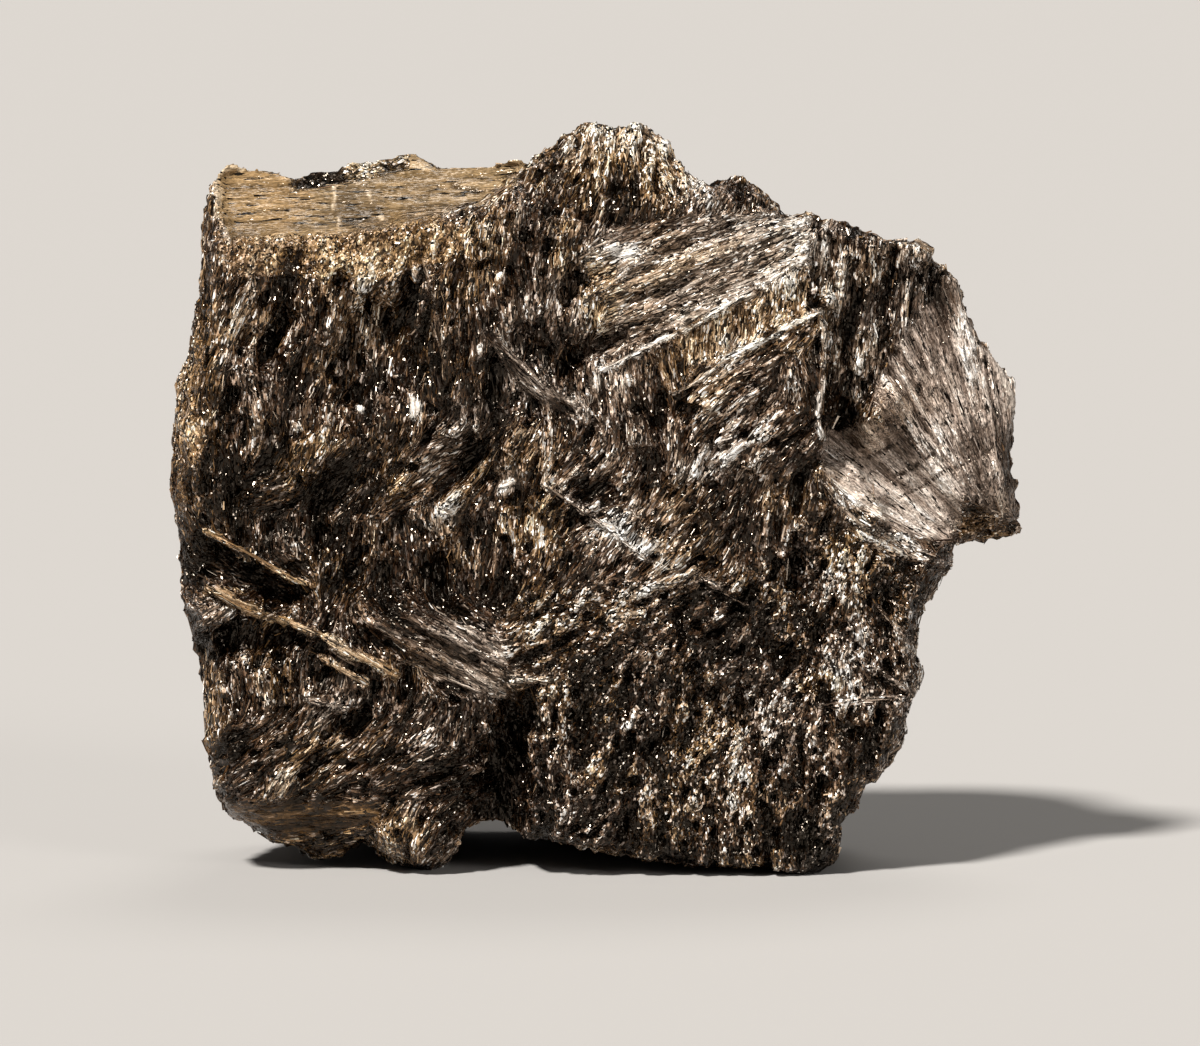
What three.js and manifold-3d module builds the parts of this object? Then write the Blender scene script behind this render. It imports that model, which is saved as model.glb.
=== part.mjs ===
// Anthophyllite hand specimen: one broken block of fibrous crystals, standing on its lower edge.
// Millimetres, +Z up, the broad front face towards -Y, the origin in the middle of the base.
//
// The block is drawn as its front face is seen: x runs to the right, v runs up the picture plane
// and depth runs away from the viewer. toWorld() tips that picture plane by VIEW_TILT, because
// the face is seen from a little above, and gives x, y and z.
import * as THREE from 'three';
import { ConvexGeometry } from 'three/addons/geometries/ConvexGeometry.js';
import { mergeVertices } from 'three/addons/utils/BufferGeometryUtils.js';
import Module from 'manifold-3d';

// Driving dimensions
const WIDTH = 103.2;               // widest across the front face, x
const THICKNESS = 43.5;            // front face to back face through the middle
const VIEW_TILT = 6;               // degrees that the face is seen from above
const FOOT_DEPTH = 3;              // depth of the lowest point of the lower edge
const FOOT_WEAR = 0.45;            // height worn off the points that the block stands on
const CENTRE = { x: -4.3, v: 48.2 };   // point that every part of the outline can see

// Mesh spacing
const FRONT_STEP = 2.25;           // between rings and points on the front face
const BACK_STEP = 4.3;             // the same on the back face
const RIM_BANDS = [0.92, 0.955, 0.985];    // rings that round the front edge, as a share of the radius
const WALL_RINGS = 5;              // rings between the front edge and the back edge
const WALL_STEP = 3.9;             // between points on the wall rings
const RIM_JITTER_STEP = 0.012;     // how far apart the rim's rings count as being, for their jitter
const BACK_RIM_BANDS = [0.95];     // the ring that rounds the back edge
const LEAST_POINTS = 6;            // fewest points on a ring
const CENTRE_GAP = 0.6;            // from the innermost ring to the centre, in ring steps
const JITTER = 0.26;               // how far a point leaves its place, as a share of the spacing

const TILT = THREE.MathUtils.degToRad(VIEW_TILT);
const FULL_TURN = 2 * Math.PI;

// A seed for each use of the noise
const SEEDS = {
  ground: 1, areas: 2, lumpSize: 3, pointAngle: 7, pointShare: 11, wallLedge: 31, wallSplit: 33,
  wallWander: 37, fineBundles: 50, backGround: 90, backAreas: 91, wallRings: 200, frontRings: 300,
  backRings: 500,
};

// The edge of the front face, clockwise from the left. Each stretch gives the depth of the edge
// and the width of the band that rounds it, from the first point of the stretch to the last.
const EDGE = [
  { part: 'left side', depth: [11, 9], band: [4.5, 2.5], points: [
    [-51.6, 46.2], [-51.4, 48.0], [-51.2, 50.4], [-51.0, 52.8], [-50.8, 55.2], [-50.4, 57.6],
    [-49.8, 60.0], [-49.0, 62.4], [-48.7, 64.8], [-48.5, 67.2], [-47.6, 69.6], [-47.5, 72.0],
    [-47.3, 74.4], [-47.4, 76.8], [-47.0, 79.2], [-46.9, 81.6]] },
  { part: 'shelf, left end', depth: [11, 14], band: [2.3, 2], points: [
    [-46.4, 84.0], [-45.6, 85.2], [-44.9, 86.0], [-43.8, 86.3], [-41.8, 85.6], [-40.1, 85.9],
    [-38.2, 85.1], [-37.1, 84.1]] },
  { part: 'shelf, back rim', depth: [14, 17], band: [2, 2], points: [
    [-35.5, 84.8], [-33.4, 85.7], [-31.3, 85.6], [-30.0, 86.4], [-26.5, 86.8], [-24.7, 87.2],
    [-23.2, 87.8], [-22.0, 87.7], [-20.6, 86.9]] },
  { part: 'shelf, right end', depth: [16, 12], band: [2, 2.4], points: [
    [-19.0, 85.8], [-17.5, 85.9], [-14.2, 85.9], [-11.5, 86.6], [-9.7, 87.0], [-8.2, 86.8]] },
  { part: 'peak', depth: [9, 8], band: [3, 3], points: [
    [-6.1, 87.7], [-4.7, 88.8], [-3.4, 89.2], [-2.2, 90.2], [-1.0, 91.0], [0.5, 90.8],
    [2.2, 90.2], [3.8, 90.5], [5.6, 91.0], [6.8, 90.4], [7.7, 88.8], [8.3, 87.2],
    [10.1, 86.2], [11.6, 84.6]] },
  { part: 'knob and shoulder', depth: [9, 9], band: [2.6, 2.2], points: [
    [13.2, 83.0], [14.0, 83.9], [16.7, 84.4], [18.7, 83.8], [19.6, 82.6], [21.1, 81.6],
    [22.4, 79.9], [24.1, 79.6], [25.0, 80.4], [27.1, 79.6], [29.9, 79.3], [31.9, 78.1],
    [35.6, 76.9], [39.1, 76.7], [40.6, 75.8], [41.1, 74.6]] },
  { part: 'fan', depth: [10, 15], band: [2, 2], points: [
    [42.3, 73.2], [43.9, 72.1], [44.4, 69.2], [45.4, 67.0], [46.2, 64.6], [47.5, 63.7],
    [49.4, 61.4], [50.8, 60.2], [51.0, 58.2], [50.8, 54.6], [50.3, 52.2], [50.4, 49.0],
    [51.2, 45.6], [51.6, 43.2]] },
  { part: 'underside of the tip', depth: [15, 14], band: [1.6, 1.6], points: [
    [51.1, 41.4], [48.6, 40.5], [46.2, 40.6], [44.2, 40.4]] },
  { part: 'right side', depth: [13, 6], band: [2, 1.4], points: [
    [43.4, 39.6], [42.6, 37.7], [41.3, 35.2], [39.1, 32.4], [38.8, 28.8], [38.4, 27.5],
    [39.1, 24.2], [38.3, 21.6], [37.2, 19.2], [37.1, 17.0], [35.6, 14.4], [34.1, 12.2],
    [31.9, 10.7], [31.3, 8.3], [29.9, 7.0], [29.5, 4.1]] },
  { part: 'foot', depth: [4, 3], band: [1.2, 0.9], points: [
    [28.8, 2.0], [27.1, 0.5], [25.1, 0.0], [22.7, 0.5], [19.1, 1.3], [17.0, 1.0],
    [14.3, 1.3], [11.3, 1.6], [5.3, 2.3], [0.5, 3.5], [-3.1, 4.2], [-7.7, 4.9]] },
  { part: 'notch', depth: [8, 9], band: [2, 2], points: [
    [-9.7, 6.0], [-11.9, 6.8], [-14.2, 7.0], [-16.0, 6.1], [-16.9, 4.6]] },
  { part: 'round lobe', depth: [7, 7], band: [3, 3], points: [
    [-17.6, 2.3], [-18.4, 1.2], [-19.8, 0.5], [-22.6, 1.1], [-25.3, 2.0], [-26.6, 3.4]] },
  { part: 'left lobes', depth: [10, 12], band: [2.4, 2], points: [
    [-27.8, 4.4], [-29.3, 4.0], [-31.0, 2.6], [-33.4, 2.0], [-35.2, 2.5], [-36.5, 3.5],
    [-39.1, 4.2], [-41.3, 5.0], [-42.7, 6.5]] },
  { part: 'lower left side', depth: [10, 11], band: [2.5, 4.5], points: [
    [-44.2, 7.0], [-45.4, 8.4], [-46.2, 10.2], [-46.6, 12.2], [-47.4, 15.0], [-47.4, 17.4],
    [-47.2, 20.4], [-47.5, 23.8], [-47.6, 25.8], [-49.0, 28.6], [-49.9, 33.0], [-50.3, 36.0],
    [-50.5, 40.8], [-50.8, 43.6], [-51.4, 45.0]] },
];

// The areas of the front face, in the order in which they are laid over each other. Each is a
// plane: depth is its depth at the point at, dx and dv are how much deeper it gets per millimetre.
// blend is the width of its soft edge, and grain is the way its fibres run, in degrees from +x,
// with the relief of the fibre bundles in millimetres.
const AREAS = [
  { part: 'upper left block', at: [-30, 60], depth: 1.0, dx: 0.0, dv: 0.0, blend: 3, grain: 84,
    relief: 2.4, outline: [[-46.9, 74.2], [-29.5, 76.1], [-19.9, 77.8], [-11.5, 80.9],
      [-9.1, 66], [-13.9, 52.8], [-31.9, 45.6], [-47.5, 43.2], [-49.9, 57.6]] },
  { part: 'hollow of the upper left block', at: [-27, 64], depth: 4.4, dx: -0.1, dv: 0.05,
    blend: 2.6, grain: 80, relief: 2.2, outline: [[-28.9, 69.6], [-20.5, 71.4], [-21.1, 61.2],
      [-24.1, 57.6], [-31.9, 55.2], [-33.1, 62.4]] },
  { part: 'groove at the left', at: [-38, 65], depth: 3.6, dx: 0, dv: 0, blend: 1.8, grain: 75,
    relief: 0.5, outline: [[-36.7, 69.6], [-35.0, 66], [-39.6, 60.4], [-41.9, 64.2]] },
  { part: 'swirl', at: [-12, 68], depth: -1.4, dx: -0.02, dv: 0.06, blend: 3.4, grain: 66,
    relief: 2.4, outline: [[-19.3, 77.4], [-9.1, 82.8], [-3.1, 76.8], [-4.3, 57.6],
      [-15.1, 54], [-19.9, 66]] },
  { part: 'peak', at: [2, 83], depth: 3.0, dx: 0.06, dv: 0.5, blend: 2.6, grain: 74,
    relief: 2.2, outline: [[-8.5, 85.0], [-6.1, 88.4], [-0.7, 92.0], [7.7, 91.5], [13.1, 84.4],
      [5.3, 79.8], [-4.3, 77.4]] },
  { part: 'bladed field', at: [8, 72], depth: 1.7, dx: 0.05, dv: 0.1, blend: 3, grain: 24,
    relief: 2.6, outline: [[-4.3, 69.6], [0.5, 78.6], [12.5, 82], [24.5, 80.8], [26.3, 70.8],
      [12.5, 64.2], [-1.9, 61.2]] },
  { part: 'middle', at: [4, 55], depth: 0.2, dx: 0, dv: 0.05, blend: 3, grain: 98, relief: 1.8,
    outline: [[-9.1, 66], [-1.9, 61.2], [12.5, 64.2], [12.0, 50], [-6, 44], [-14, 52]] },
  { part: 'fibres of the upper plate', at: [14, 66], depth: -0.1, dx: -0.03, dv: -0.06,
    blend: 1.4, grain: 102, relief: 2.2, outline: [[1.7, 61.6], [14.4, 69.2], [24.7, 74.0],
      [26.2, 70.4], [25.6, 66.8], [10.1, 58.6]] },
  { part: 'fibres of the right plate', at: [20, 60], depth: -1.5, dx: -0.09, dv: -0.08,
    blend: 1.2, grain: 100, relief: 2.2, outline: [[9.4, 58.4], [15.4, 62.7], [26.7, 68.4],
      [27.6, 65.5], [27.1, 51.2], [23.6, 47.4], [12.5, 50.6]] },
  { part: 'valley right of the plates', at: [33, 62], depth: 7.4, dx: 0.1, dv: -0.04, blend: 1.6,
    grain: 86, relief: 1.6, outline: [[27.4, 69.6], [25.3, 79.4], [37.0, 77.8], [41.0, 75.0],
      [37.1, 66], [34.1, 57.6], [30.5, 50.4], [27.2, 51]] },
  { part: 'lip of the shoulder', at: [33, 78], depth: 5.4, dx: 0.05, dv: 0.5, blend: 1.2,
    grain: -20, relief: 0.5, outline: [[24.5, 81.6], [34, 78.8], [42.0, 77.0], [41.2, 74.2],
      [34.1, 75.8], [25.9, 78.0]] },
  { part: 'upper fan', at: [43, 58], depth: 8.8, dx: 0.26, dv: 0.03, blend: 2, grain: 112,
    relief: 1.8, outline: [[36.5, 66], [41.0, 76.5], [47, 77], [57, 62], [57, 42.0], [50, 43.8],
      [41.3, 48.2], [35.3, 54]] },
  { part: 'lower fan', at: [36, 47], depth: 8.6, dx: 0.14, dv: 0.02, blend: 1.5, grain: -38,
    relief: 0.3, outline: [[27.6, 51], [35.3, 54], [44.3, 46.8], [43.4, 40.2], [37.1, 40.8]] },
  { part: 'underside of the tip', at: [47, 43.8], depth: 11.6, dx: 0.0, dv: -1.4, blend: 0.9,
    grain: 0, relief: 0.3, outline: [[42.9, 43.6], [49.9, 44.3], [57, 42.6], [57, 36], [43.2, 37.4]] },
  { part: 'lower right block', at: [14, 25], depth: 0.0, dx: 0.04, dv: -0.02, blend: 3,
    grain: 84, relief: 2.4, outline: [[-9.1, 38.4], [10, 44.6], [26.3, 47.4], [38.9, 36],
      [40.9, 21.6], [31.5, 0.4], [24.5, -2.6], [0.5, 0.4], [-10.9, 4.5], [-9.1, 21.6]] },
  { part: 'rim ridge under the fan', at: [33, 42], depth: 1.6, dx: 0.42, dv: 0.0, blend: 1.5,
    grain: -45, relief: 0.6, outline: [[25.7, 49.4], [28.3, 48.4], [33.9, 42.8], [41.0, 40.2],
      [46, 39.4], [43.4, 33.8], [39.3, 34.4], [31.7, 39.4], [25.7, 45.0]] },
  { part: 'pits of the lower right', at: [16, 20], depth: 2.6, dx: 0, dv: 0, blend: 2,
    grain: 84, relief: 1.2, outline: [[12.5, 22.8], [19.7, 22.8], [19.7, 16.8], [14.3, 16.8]] },
  { part: 'lower left block', at: [-28, 18], depth: 1.2, dx: -0.03, dv: -0.04, blend: 3,
    grain: 38, relief: 2.4, outline: [[-49.9, 26], [-36.7, 29.6], [-21.1, 23.8],
      [-11.5, 22.6], [-13.9, 8.6], [-27.1, 8.2], [-48.5, 6.2]] },
  { part: 'left middle', at: [-36, 36], depth: 1.4, dx: 0, dv: 0.02, blend: 3, grain: -30,
    relief: 2.0, outline: [[-52.7, 40.2], [-47.5, 45.2], [-33.9, 43.6], [-24, 36], [-24.1, 26.2],
      [-36.7, 27.6], [-51.9, 24]] },
  { part: 'dark pocket', at: [-42, 37.5], depth: 5.6, dx: -0.02, dv: 0, blend: 1.6, grain: -28,
    relief: 0.8, outline: [[-49.7, 40.2], [-45.7, 40.8], [-35.5, 35.4], [-35.9, 32.6],
      [-46.5, 34.9]] },
  { part: 'gash at the left side', at: [-41, 29], depth: 4.4, dx: -0.02, dv: 0, blend: 1.4,
    grain: -15, relief: 0.6, outline: [[-50.7, 28.2], [-40.3, 31.2], [-31.9, 31.6],
      [-34.5, 27.6], [-46.7, 24.8]] },
  { part: 'middle hollow', at: [-22, 42], depth: 2.4, dx: 0.02, dv: 0.0, blend: 3.4, grain: -12,
    relief: 2.0, outline: [[-34.3, 45.6], [-25.9, 51.6], [-15.1, 51.6], [-9.1, 49.2],
      [-13.9, 33.6], [-23.5, 33.6], [-31.9, 38.4]] },
  { part: 'feather', at: [-17, 27], depth: -0.4, dx: -0.06, dv: -0.14, blend: 1.8, grain: -34,
    relief: 0.9, outline: [[-29.0, 33.0], [-20.5, 33.4], [-10.5, 28.6], [-9.8, 21.4],
      [-15.0, 22.0], [-25.0, 28.0]] },
  { part: 'gully', at: [-11, 14], depth: 6.0, dx: 0, dv: -0.1, blend: 1.5, grain: 80,
    relief: 0.8, outline: [[-15.1, 4.2], [-13.7, 16.8], [-11.5, 22.2], [-7.9, 21], [-8.6, 12],
      [-9.3, 4.2]] },
  { part: 'ledge strip', at: [-36, 7], depth: 5.0, dx: 0.0, dv: -0.7, blend: 1.2, grain: 4,
    relief: 0.2, outline: [[-45.9, 8.8], [-27.2, 8.9], [-25.6, 6.2], [-35.5, 4.8],
      [-42.5, 4.8]] },
  { part: 'left lobes', at: [-34, 4], depth: 6.6, dx: -0.05, dv: -0.8, blend: 1.2, grain: 20,
    relief: 0.8, outline: [[-41.9, 5.2], [-35.5, 5.2], [-26.9, 6.2], [-29.1, 0.8],
      [-37.7, 0.8]] },
  { part: 'shelf', at: [-28, 77.4], depth: 4.2, dx: 0.02, dv: 1.22, blend: 0.8, grain: 4,
    relief: 0.25, outline: [[-47.5, 80.4], [-47.2, 88], [-7.6, 90], [-7.9, 86.2], [-10.9, 82.2],
      [-19.9, 79.2], [-29.5, 77.5], [-44.2, 77.0]] },
  { part: 'end face of the shelf', at: [-46.3, 80], depth: 6.0, dx: -1.6, dv: 0.3, blend: 0.7,
    grain: 90, relief: 0.3, outline: [[-49, 74.4], [-45.9, 75.6], [-45.0, 79.6], [-45.6, 86.9],
      [-49, 86.9]] },
];

// Soft bumps (above 0) and dents (below 0) on the front face: place, half axes, turn, height
const SWELLS = [
  { at: [-35.5, 51.0], axes: [4.2, 3.6], turn: 0, height: 2.2 },
  { at: [-34.5, 46.0], axes: [6.5, 2.2], turn: 12, height: -2.0 },
  { at: [-25.0, 47.2], axes: [2.6, 2.0], turn: 0, height: 1.6 },
  { at: [-19.5, 48.6], axes: [5.5, 1.8], turn: 45, height: -2.2 },
  { at: [-28.5, 37.2], axes: [2.2, 2.2], turn: 0, height: -2.2 },
  { at: [-30.4, 18.6], axes: [3.2, 1.9], turn: 20, height: -2.6 },
  { at: [-20.3, 66.0], axes: [1.8, 8.5], turn: -10, height: 1.6 },
  { at: [-40.5, 57.0], axes: [3.0, 8.0], turn: 8, height: 1.2 },
  { at: [0.5, 64.4], axes: [4.2, 1.9], turn: 18, height: -3.2 },
  { at: [-4.3, 70.5], axes: [1.7, 4.4], turn: -28, height: -2.4 },
  { at: [19.5, 52.0], axes: [4.0, 3.2], turn: 40, height: 1.3 },
  { at: [25.0, 35.2], axes: [2.2, 4.4], turn: 0, height: -2.2 },
  { at: [24.6, 25.4], axes: [2.6, 2.4], turn: 0, height: -1.8 },
  { at: [-18.0, 38.0], axes: [4.8, 3.6], turn: 0, height: -1.6 },
  { at: [-12.0, 34.0], axes: [4.0, 3.0], turn: 30, height: -1.4 },
  { at: [4.0, 30.0], axes: [5.5, 3.0], turn: 60, height: 1.3 },
  { at: [-40.0, 15.0], axes: [5.5, 3.0], turn: 38, height: 1.6 },
  { at: [-22.5, 14.5], axes: [7.0, 2.4], turn: 38, height: 1.5 },
  { at: [6.0, 12.0], axes: [3.0, 6.5], turn: -10, height: 1.5 },
  { at: [-2.0, 14.0], axes: [2.2, 4.0], turn: -10, height: -1.5 },
  { at: [31.0, 14.5], axes: [2.4, 6.0], turn: -14, height: 1.2 },
];

// Flat crystals that stand proud of the face: both ends on the face, half width, height, and
// the side of the crest, from -1 on the left of its run to 1 on the right
const BLADES = [
  // the bladed field, rising to the right
  { from: [1.6, 69.9], to: [22.6, 78.4], half: 1.7, proud: 1.6, crest: 0.5 },
  { from: [8.4, 69.2], to: [22.4, 75.6], half: 1.5, proud: 1.4, crest: 0.5 },
  { from: [1.8, 66.8], to: [14.6, 72.2], half: 1.5, proud: 1.3, crest: 0.5 },
  { from: [6.4, 65.2], to: [17.2, 69.9], half: 1.4, proud: 1.2, crest: 0.4 },
  { from: [-2.3, 69.2], to: [7.3, 75.4], half: 1.6, proud: 1.4, crest: 0.4 },
  { from: [3.6, 74.6], to: [16.6, 80.4], half: 1.6, proud: 1.4, crest: 0.5 },
  { from: [3.9, 62.8], to: [12.3, 66.2], half: 1.2, proud: 1.1, crest: 0.3 },
  // the wedge that points down to the right under the swirl
  { from: [-14.4, 66.2], to: [0.4, 54.4], half: 2.1, proud: 1.6, crest: -0.5 },
  // the bright ridges of the swirl
  { from: [-18.0, 74.4], to: [-21.7, 64.0], half: 1.1, proud: 1.8, crest: 0.2 },
  { from: [-13.6, 78.2], to: [-16.4, 69.0], half: 1.1, proud: 1.5, crest: 0.2 },
  { from: [-8.4, 79.6], to: [-11.6, 70.2], half: 1.1, proud: 1.5, crest: 0.2 },
  // the fan, spreading to the right, each blade lapping over the next
  { from: [27.7, 51.6], to: [33.4, 42.8], half: 2.2, proud: 0.9, crest: -0.6 },
  { from: [30.2, 52.2], to: [38.6, 41.6], half: 2.5, proud: 1.2, crest: 0.6 },
  { from: [34.2, 52.9], to: [43.4, 42.6], half: 2.4, proud: 1.1, crest: 0.6 },
  { from: [34.6, 59.6], to: [40.2, 50.6], half: 1.9, proud: 1.0, crest: 0.7 },
  { from: [39.0, 53.6], to: [45.0, 45.4], half: 1.8, proud: 0.9, crest: 0.7 },
  { from: [36.4, 66.4], to: [42.0, 55.2], half: 1.9, proud: 1.1, crest: 0.7 },
  { from: [39.8, 69.6], to: [44.6, 57.2], half: 1.8, proud: 1.0, crest: 0.7 },
  { from: [43.0, 58.6], to: [47.4, 46.4], half: 1.8, proud: 1.0, crest: 0.7 },
  { from: [42.8, 68.4], to: [46.2, 57.4], half: 1.5, proud: 1.0, crest: 0.7 },
  { from: [46.6, 61.2], to: [49.0, 47.2], half: 1.4, proud: 0.9, crest: 0.7 },
  // the dark columns of the valley
  { from: [29.4, 77.0], to: [29.9, 63.0], half: 1.1, proud: 1.8, crest: 0.2 },
  { from: [32.9, 76.2], to: [32.3, 60.0], half: 1.1, proud: 1.7, crest: 0.2 },
  { from: [36.2, 74.8], to: [35.2, 61.6], half: 1.0, proud: 1.5, crest: 0.2 },
  // the needles of the left side
  { from: [-46.6, 41.5], to: [-34.2, 35.2], half: 0.7, proud: 1.4, crest: 0.0 },
  { from: [-47.4, 35.8], to: [-37.2, 31.0], half: 0.9, proud: 2.0, crest: 0.0 },
  { from: [-38.8, 32.4], to: [-23.4, 24.2], half: 1.1, proud: 2.4, crest: 0.1 },
  { from: [-34.8, 27.5], to: [-27.2, 23.6], half: 0.7, proud: 1.3, crest: 0.0 },
  { from: [-36.2, 22.8], to: [-29.6, 20.6], half: 0.8, proud: 1.3, crest: 0.0 },
  // the feather in the lower middle
  { from: [-27.4, 31.0], to: [-10.3, 21.8], half: 1.1, proud: 1.4, crest: 0.2 },
  { from: [-22.4, 32.2], to: [-10.6, 25.0], half: 1.0, proud: 1.2, crest: 0.2 },
  // the pale ridge across the middle
  { from: [-6.4, 48.8], to: [6.6, 41.0], half: 2.1, proud: 1.5, crest: 0.3 },
  { from: [3.0, 43.9], to: [13.9, 35.2], half: 1.6, proud: 1.1, crest: 0.3 },
  { from: [11.0, 46.0], to: [15.6, 41.4], half: 0.8, proud: 1.0, crest: 0.1 },
  // the crease at the right edge
  { from: [27.6, 20.4], to: [37.4, 21.4], half: 0.8, proud: 1.1, crest: 0.1 },
];

// Ledges with flat tops: the plane of the top as for an area, the corners and the buried root
const LEDGES = [
  { part: 'upper plate', root: 5, at: [14, 66], depth: 0.2, dx: -0.03, dv: -0.06, corners: [
    [1.7, 61.6], [14.4, 69.2], [24.7, 74.0], [26.2, 70.4], [25.6, 66.8], [10.1, 58.6]] },
  { part: 'right plate', root: 9, at: [20, 60], depth: -1.3, dx: -0.09, dv: -0.08, corners: [
    [9.4, 58.4], [15.4, 62.7], [26.7, 68.4], [27.6, 65.5], [27.1, 51.2], [23.6, 47.4],
    [12.5, 50.6]] },
];

// Rounded lumps grown into the face: centre, half axes along x, v and depth
const LUMPS = [
  { at: [-21.9, 4.9], depth: 9.2, axes: [5.0, 4.3, 6.2] },
  { at: [-33.6, 5.6], depth: 12.6, axes: [4.6, 3.2, 5.0] },
  { at: [-30.6, 76.0], depth: 3.6, axes: [7.2, 1.7, 2.2] },
  { at: [-40.0, 75.2], depth: 3.2, axes: [5.4, 1.6, 2.2] },
  { at: [16.7, 80.9], depth: 7.4, axes: [3.6, 3.2, 3.8] },
  { at: [-0.4, 85.4], depth: 8.6, axes: [4.6, 5.2, 4.4] },
  { at: [5.8, 85.0], depth: 8.8, axes: [3.6, 5.2, 4.2] },
];

// The faces that bound the back of the block: depth at a point, and its change per millimetre
const BACK_FACES = [
  { at: [0, 45], depth: THICKNESS, dx: 0.02, dv: -0.04 },
  { at: [14, 45], depth: 41.5, dx: -0.4, dv: 0.03 },
  { at: [0, 66], depth: 41.8, dx: 0.03, dv: -0.5 },
  { at: [-34, 45], depth: 42.4, dx: 0.52, dv: 0.0 },
  { at: [-30, 12], depth: 41.2, dx: 0.24, dv: 0.2 },
  { at: [22, 20], depth: 40.2, dx: -0.34, dv: 0.12 },
];

// Where the back has split deeper or stands higher, given as the areas of the front
const BACK_AREAS = [
  { part: 'high tongue', at: [-12, 40], depth: 44.6, dx: 0.0, dv: 0.03, blend: 2.6, grain: 66,
    relief: 2.4, outline: [[-33, 18], [-27, 50], [-14, 66], [-2, 58], [-8, 36], [-18, 14]] },
  { part: 'split at the upper left', at: [-28, 62], depth: 38.0, dx: 0.3, dv: -0.2, blend: 3,
    grain: 72, relief: 2.0, outline: [[-42, 48], [-40, 72], [-24, 80], [-16, 70], [-28, 52]] },
  { part: 'split in the middle', at: [4, 40], depth: 40.6, dx: 0.06, dv: 0.04, blend: 2.4,
    grain: 60, relief: 2.2, outline: [[-6, 20], [-5, 38], [2, 56], [9, 62], [8, 40], [2, 20]] },
  { part: 'ridge at the right', at: [17, 42], depth: 41.4, dx: -0.3, dv: 0.0, blend: 2.4,
    grain: 62, relief: 2.2, outline: [[9, 14], [11, 40], [18, 62], [24, 60], [20, 36], [16, 12]] },
  { part: 'low step at the left', at: [-36, 20], depth: 36.4, dx: 0.4, dv: 0.1, blend: 2.4,
    grain: 50, relief: 1.8, outline: [[-48, 6], [-46, 34], [-36, 38], [-32, 20], [-36, 6]] },
  { part: 'step under the peak', at: [2, 76], depth: 35.2, dx: -0.05, dv: -0.35, blend: 2.2,
    grain: 70, relief: 1.8, outline: [[-12, 72], [-10, 88], [10, 88], [14, 74], [2, 70]] },
];
const BACK_BLADES = [
  { from: [-40, 28], to: [-26, 64], half: 2.4, proud: 1.5, crest: 0.6 },
  { from: [-24, 8], to: [-12, 30], half: 2.4, proud: 1.5, crest: 0.5 },
  { from: [-14, 54], to: [-4, 78], half: 2.2, proud: 1.5, crest: 0.6 },
  { from: [12, 8], to: [22, 40], half: 2.4, proud: 1.6, crest: 0.6 },
  { from: [22, 52], to: [32, 70], half: 2.0, proud: 1.4, crest: 0.6 },
  { from: [26, 26], to: [36, 52], half: 2.0, proud: 1.4, crest: 0.6 },
];

// How far the back edge is drawn in towards the centre, by the way it lies from the centre
const BACK_DRAW = { right: 0.9, top: 0.84, left: 0.9, bottom: 1.0 };

const COLOUR = 0x4a3a29;           // dark brown crystal mass with a satin gloss
const ROUGHNESS = 0.45;
const METALNESS = 0.0;

// Repeatable noise from whole-number mixing, 0 to 1
function hash(i, j, seed) {
  let h = Math.imul(i, 374761393) + Math.imul(j, 668265263) + Math.imul(seed, 1442695041);
  h = Math.imul(h ^ (h >>> 13), 1274126177);
  return ((h ^ (h >>> 16)) >>> 0) / 2 ** 32;
}

function smooth(t) {
  const c = Math.min(1, Math.max(0, t));
  return c * c * (3 - 2 * c);
}

function noise(a, b, seed) {
  const i = Math.floor(a);
  const j = Math.floor(b);
  const s = smooth(a - i);
  const t = smooth(b - j);
  const low = THREE.MathUtils.lerp(hash(i, j, seed), hash(i + 1, j, seed), s);
  const high = THREE.MathUtils.lerp(hash(i, j + 1, seed), hash(i + 1, j + 1, seed), s);
  return THREE.MathUtils.lerp(low, high, t);
}

// Fibre bundles: noise drawn out along the grain, between -0.5 and 0.5
const BUNDLE_LENGTH = 15;
const BUNDLE_WIDTH = 3.3;
const FINE_BUNDLES = { length: 0.5, width: 0.6, share: 0.35 };     // against the coarse ones
function bundles(x, v, grain, seed) {
  const turn = THREE.MathUtils.degToRad(grain);
  const along = x * Math.cos(turn) + v * Math.sin(turn);
  const across = v * Math.cos(turn) - x * Math.sin(turn);
  const coarse = noise(along / BUNDLE_LENGTH, across / BUNDLE_WIDTH, seed);
  const fine = noise(along / (BUNDLE_LENGTH * FINE_BUNDLES.length),
    across / (BUNDLE_WIDTH * FINE_BUNDLES.width), seed + SEEDS.fineBundles);
  return THREE.MathUtils.lerp(coarse, fine, FINE_BUNDLES.share) - 0.5;
}

// Distance from a point to a closed outline, above 0 inside it
function insideDistance(x, v, outline) {
  let nearest = Infinity;
  let inside = false;
  outline.forEach(([ax, av], i) => {
    const [bx, bv] = outline[(i + 1) % outline.length];
    const run = (bx - ax) ** 2 + (bv - av) ** 2;
    const t = THREE.MathUtils.clamp(((x - ax) * (bx - ax) + (v - av) * (bv - av)) / run, 0, 1);
    nearest = Math.min(nearest, Math.hypot(x - ax - t * (bx - ax), v - av - t * (bv - av)));
    if ((av > v) !== (bv > v) && x < ax + ((v - av) / (bv - av)) * (bx - ax)) inside = !inside;
  });
  return inside ? nearest : -nearest;
}

function planeDepth(plane, x, v) {
  return plane.depth + plane.dx * (x - plane.at[0]) + plane.dv * (v - plane.at[1]);
}

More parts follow.
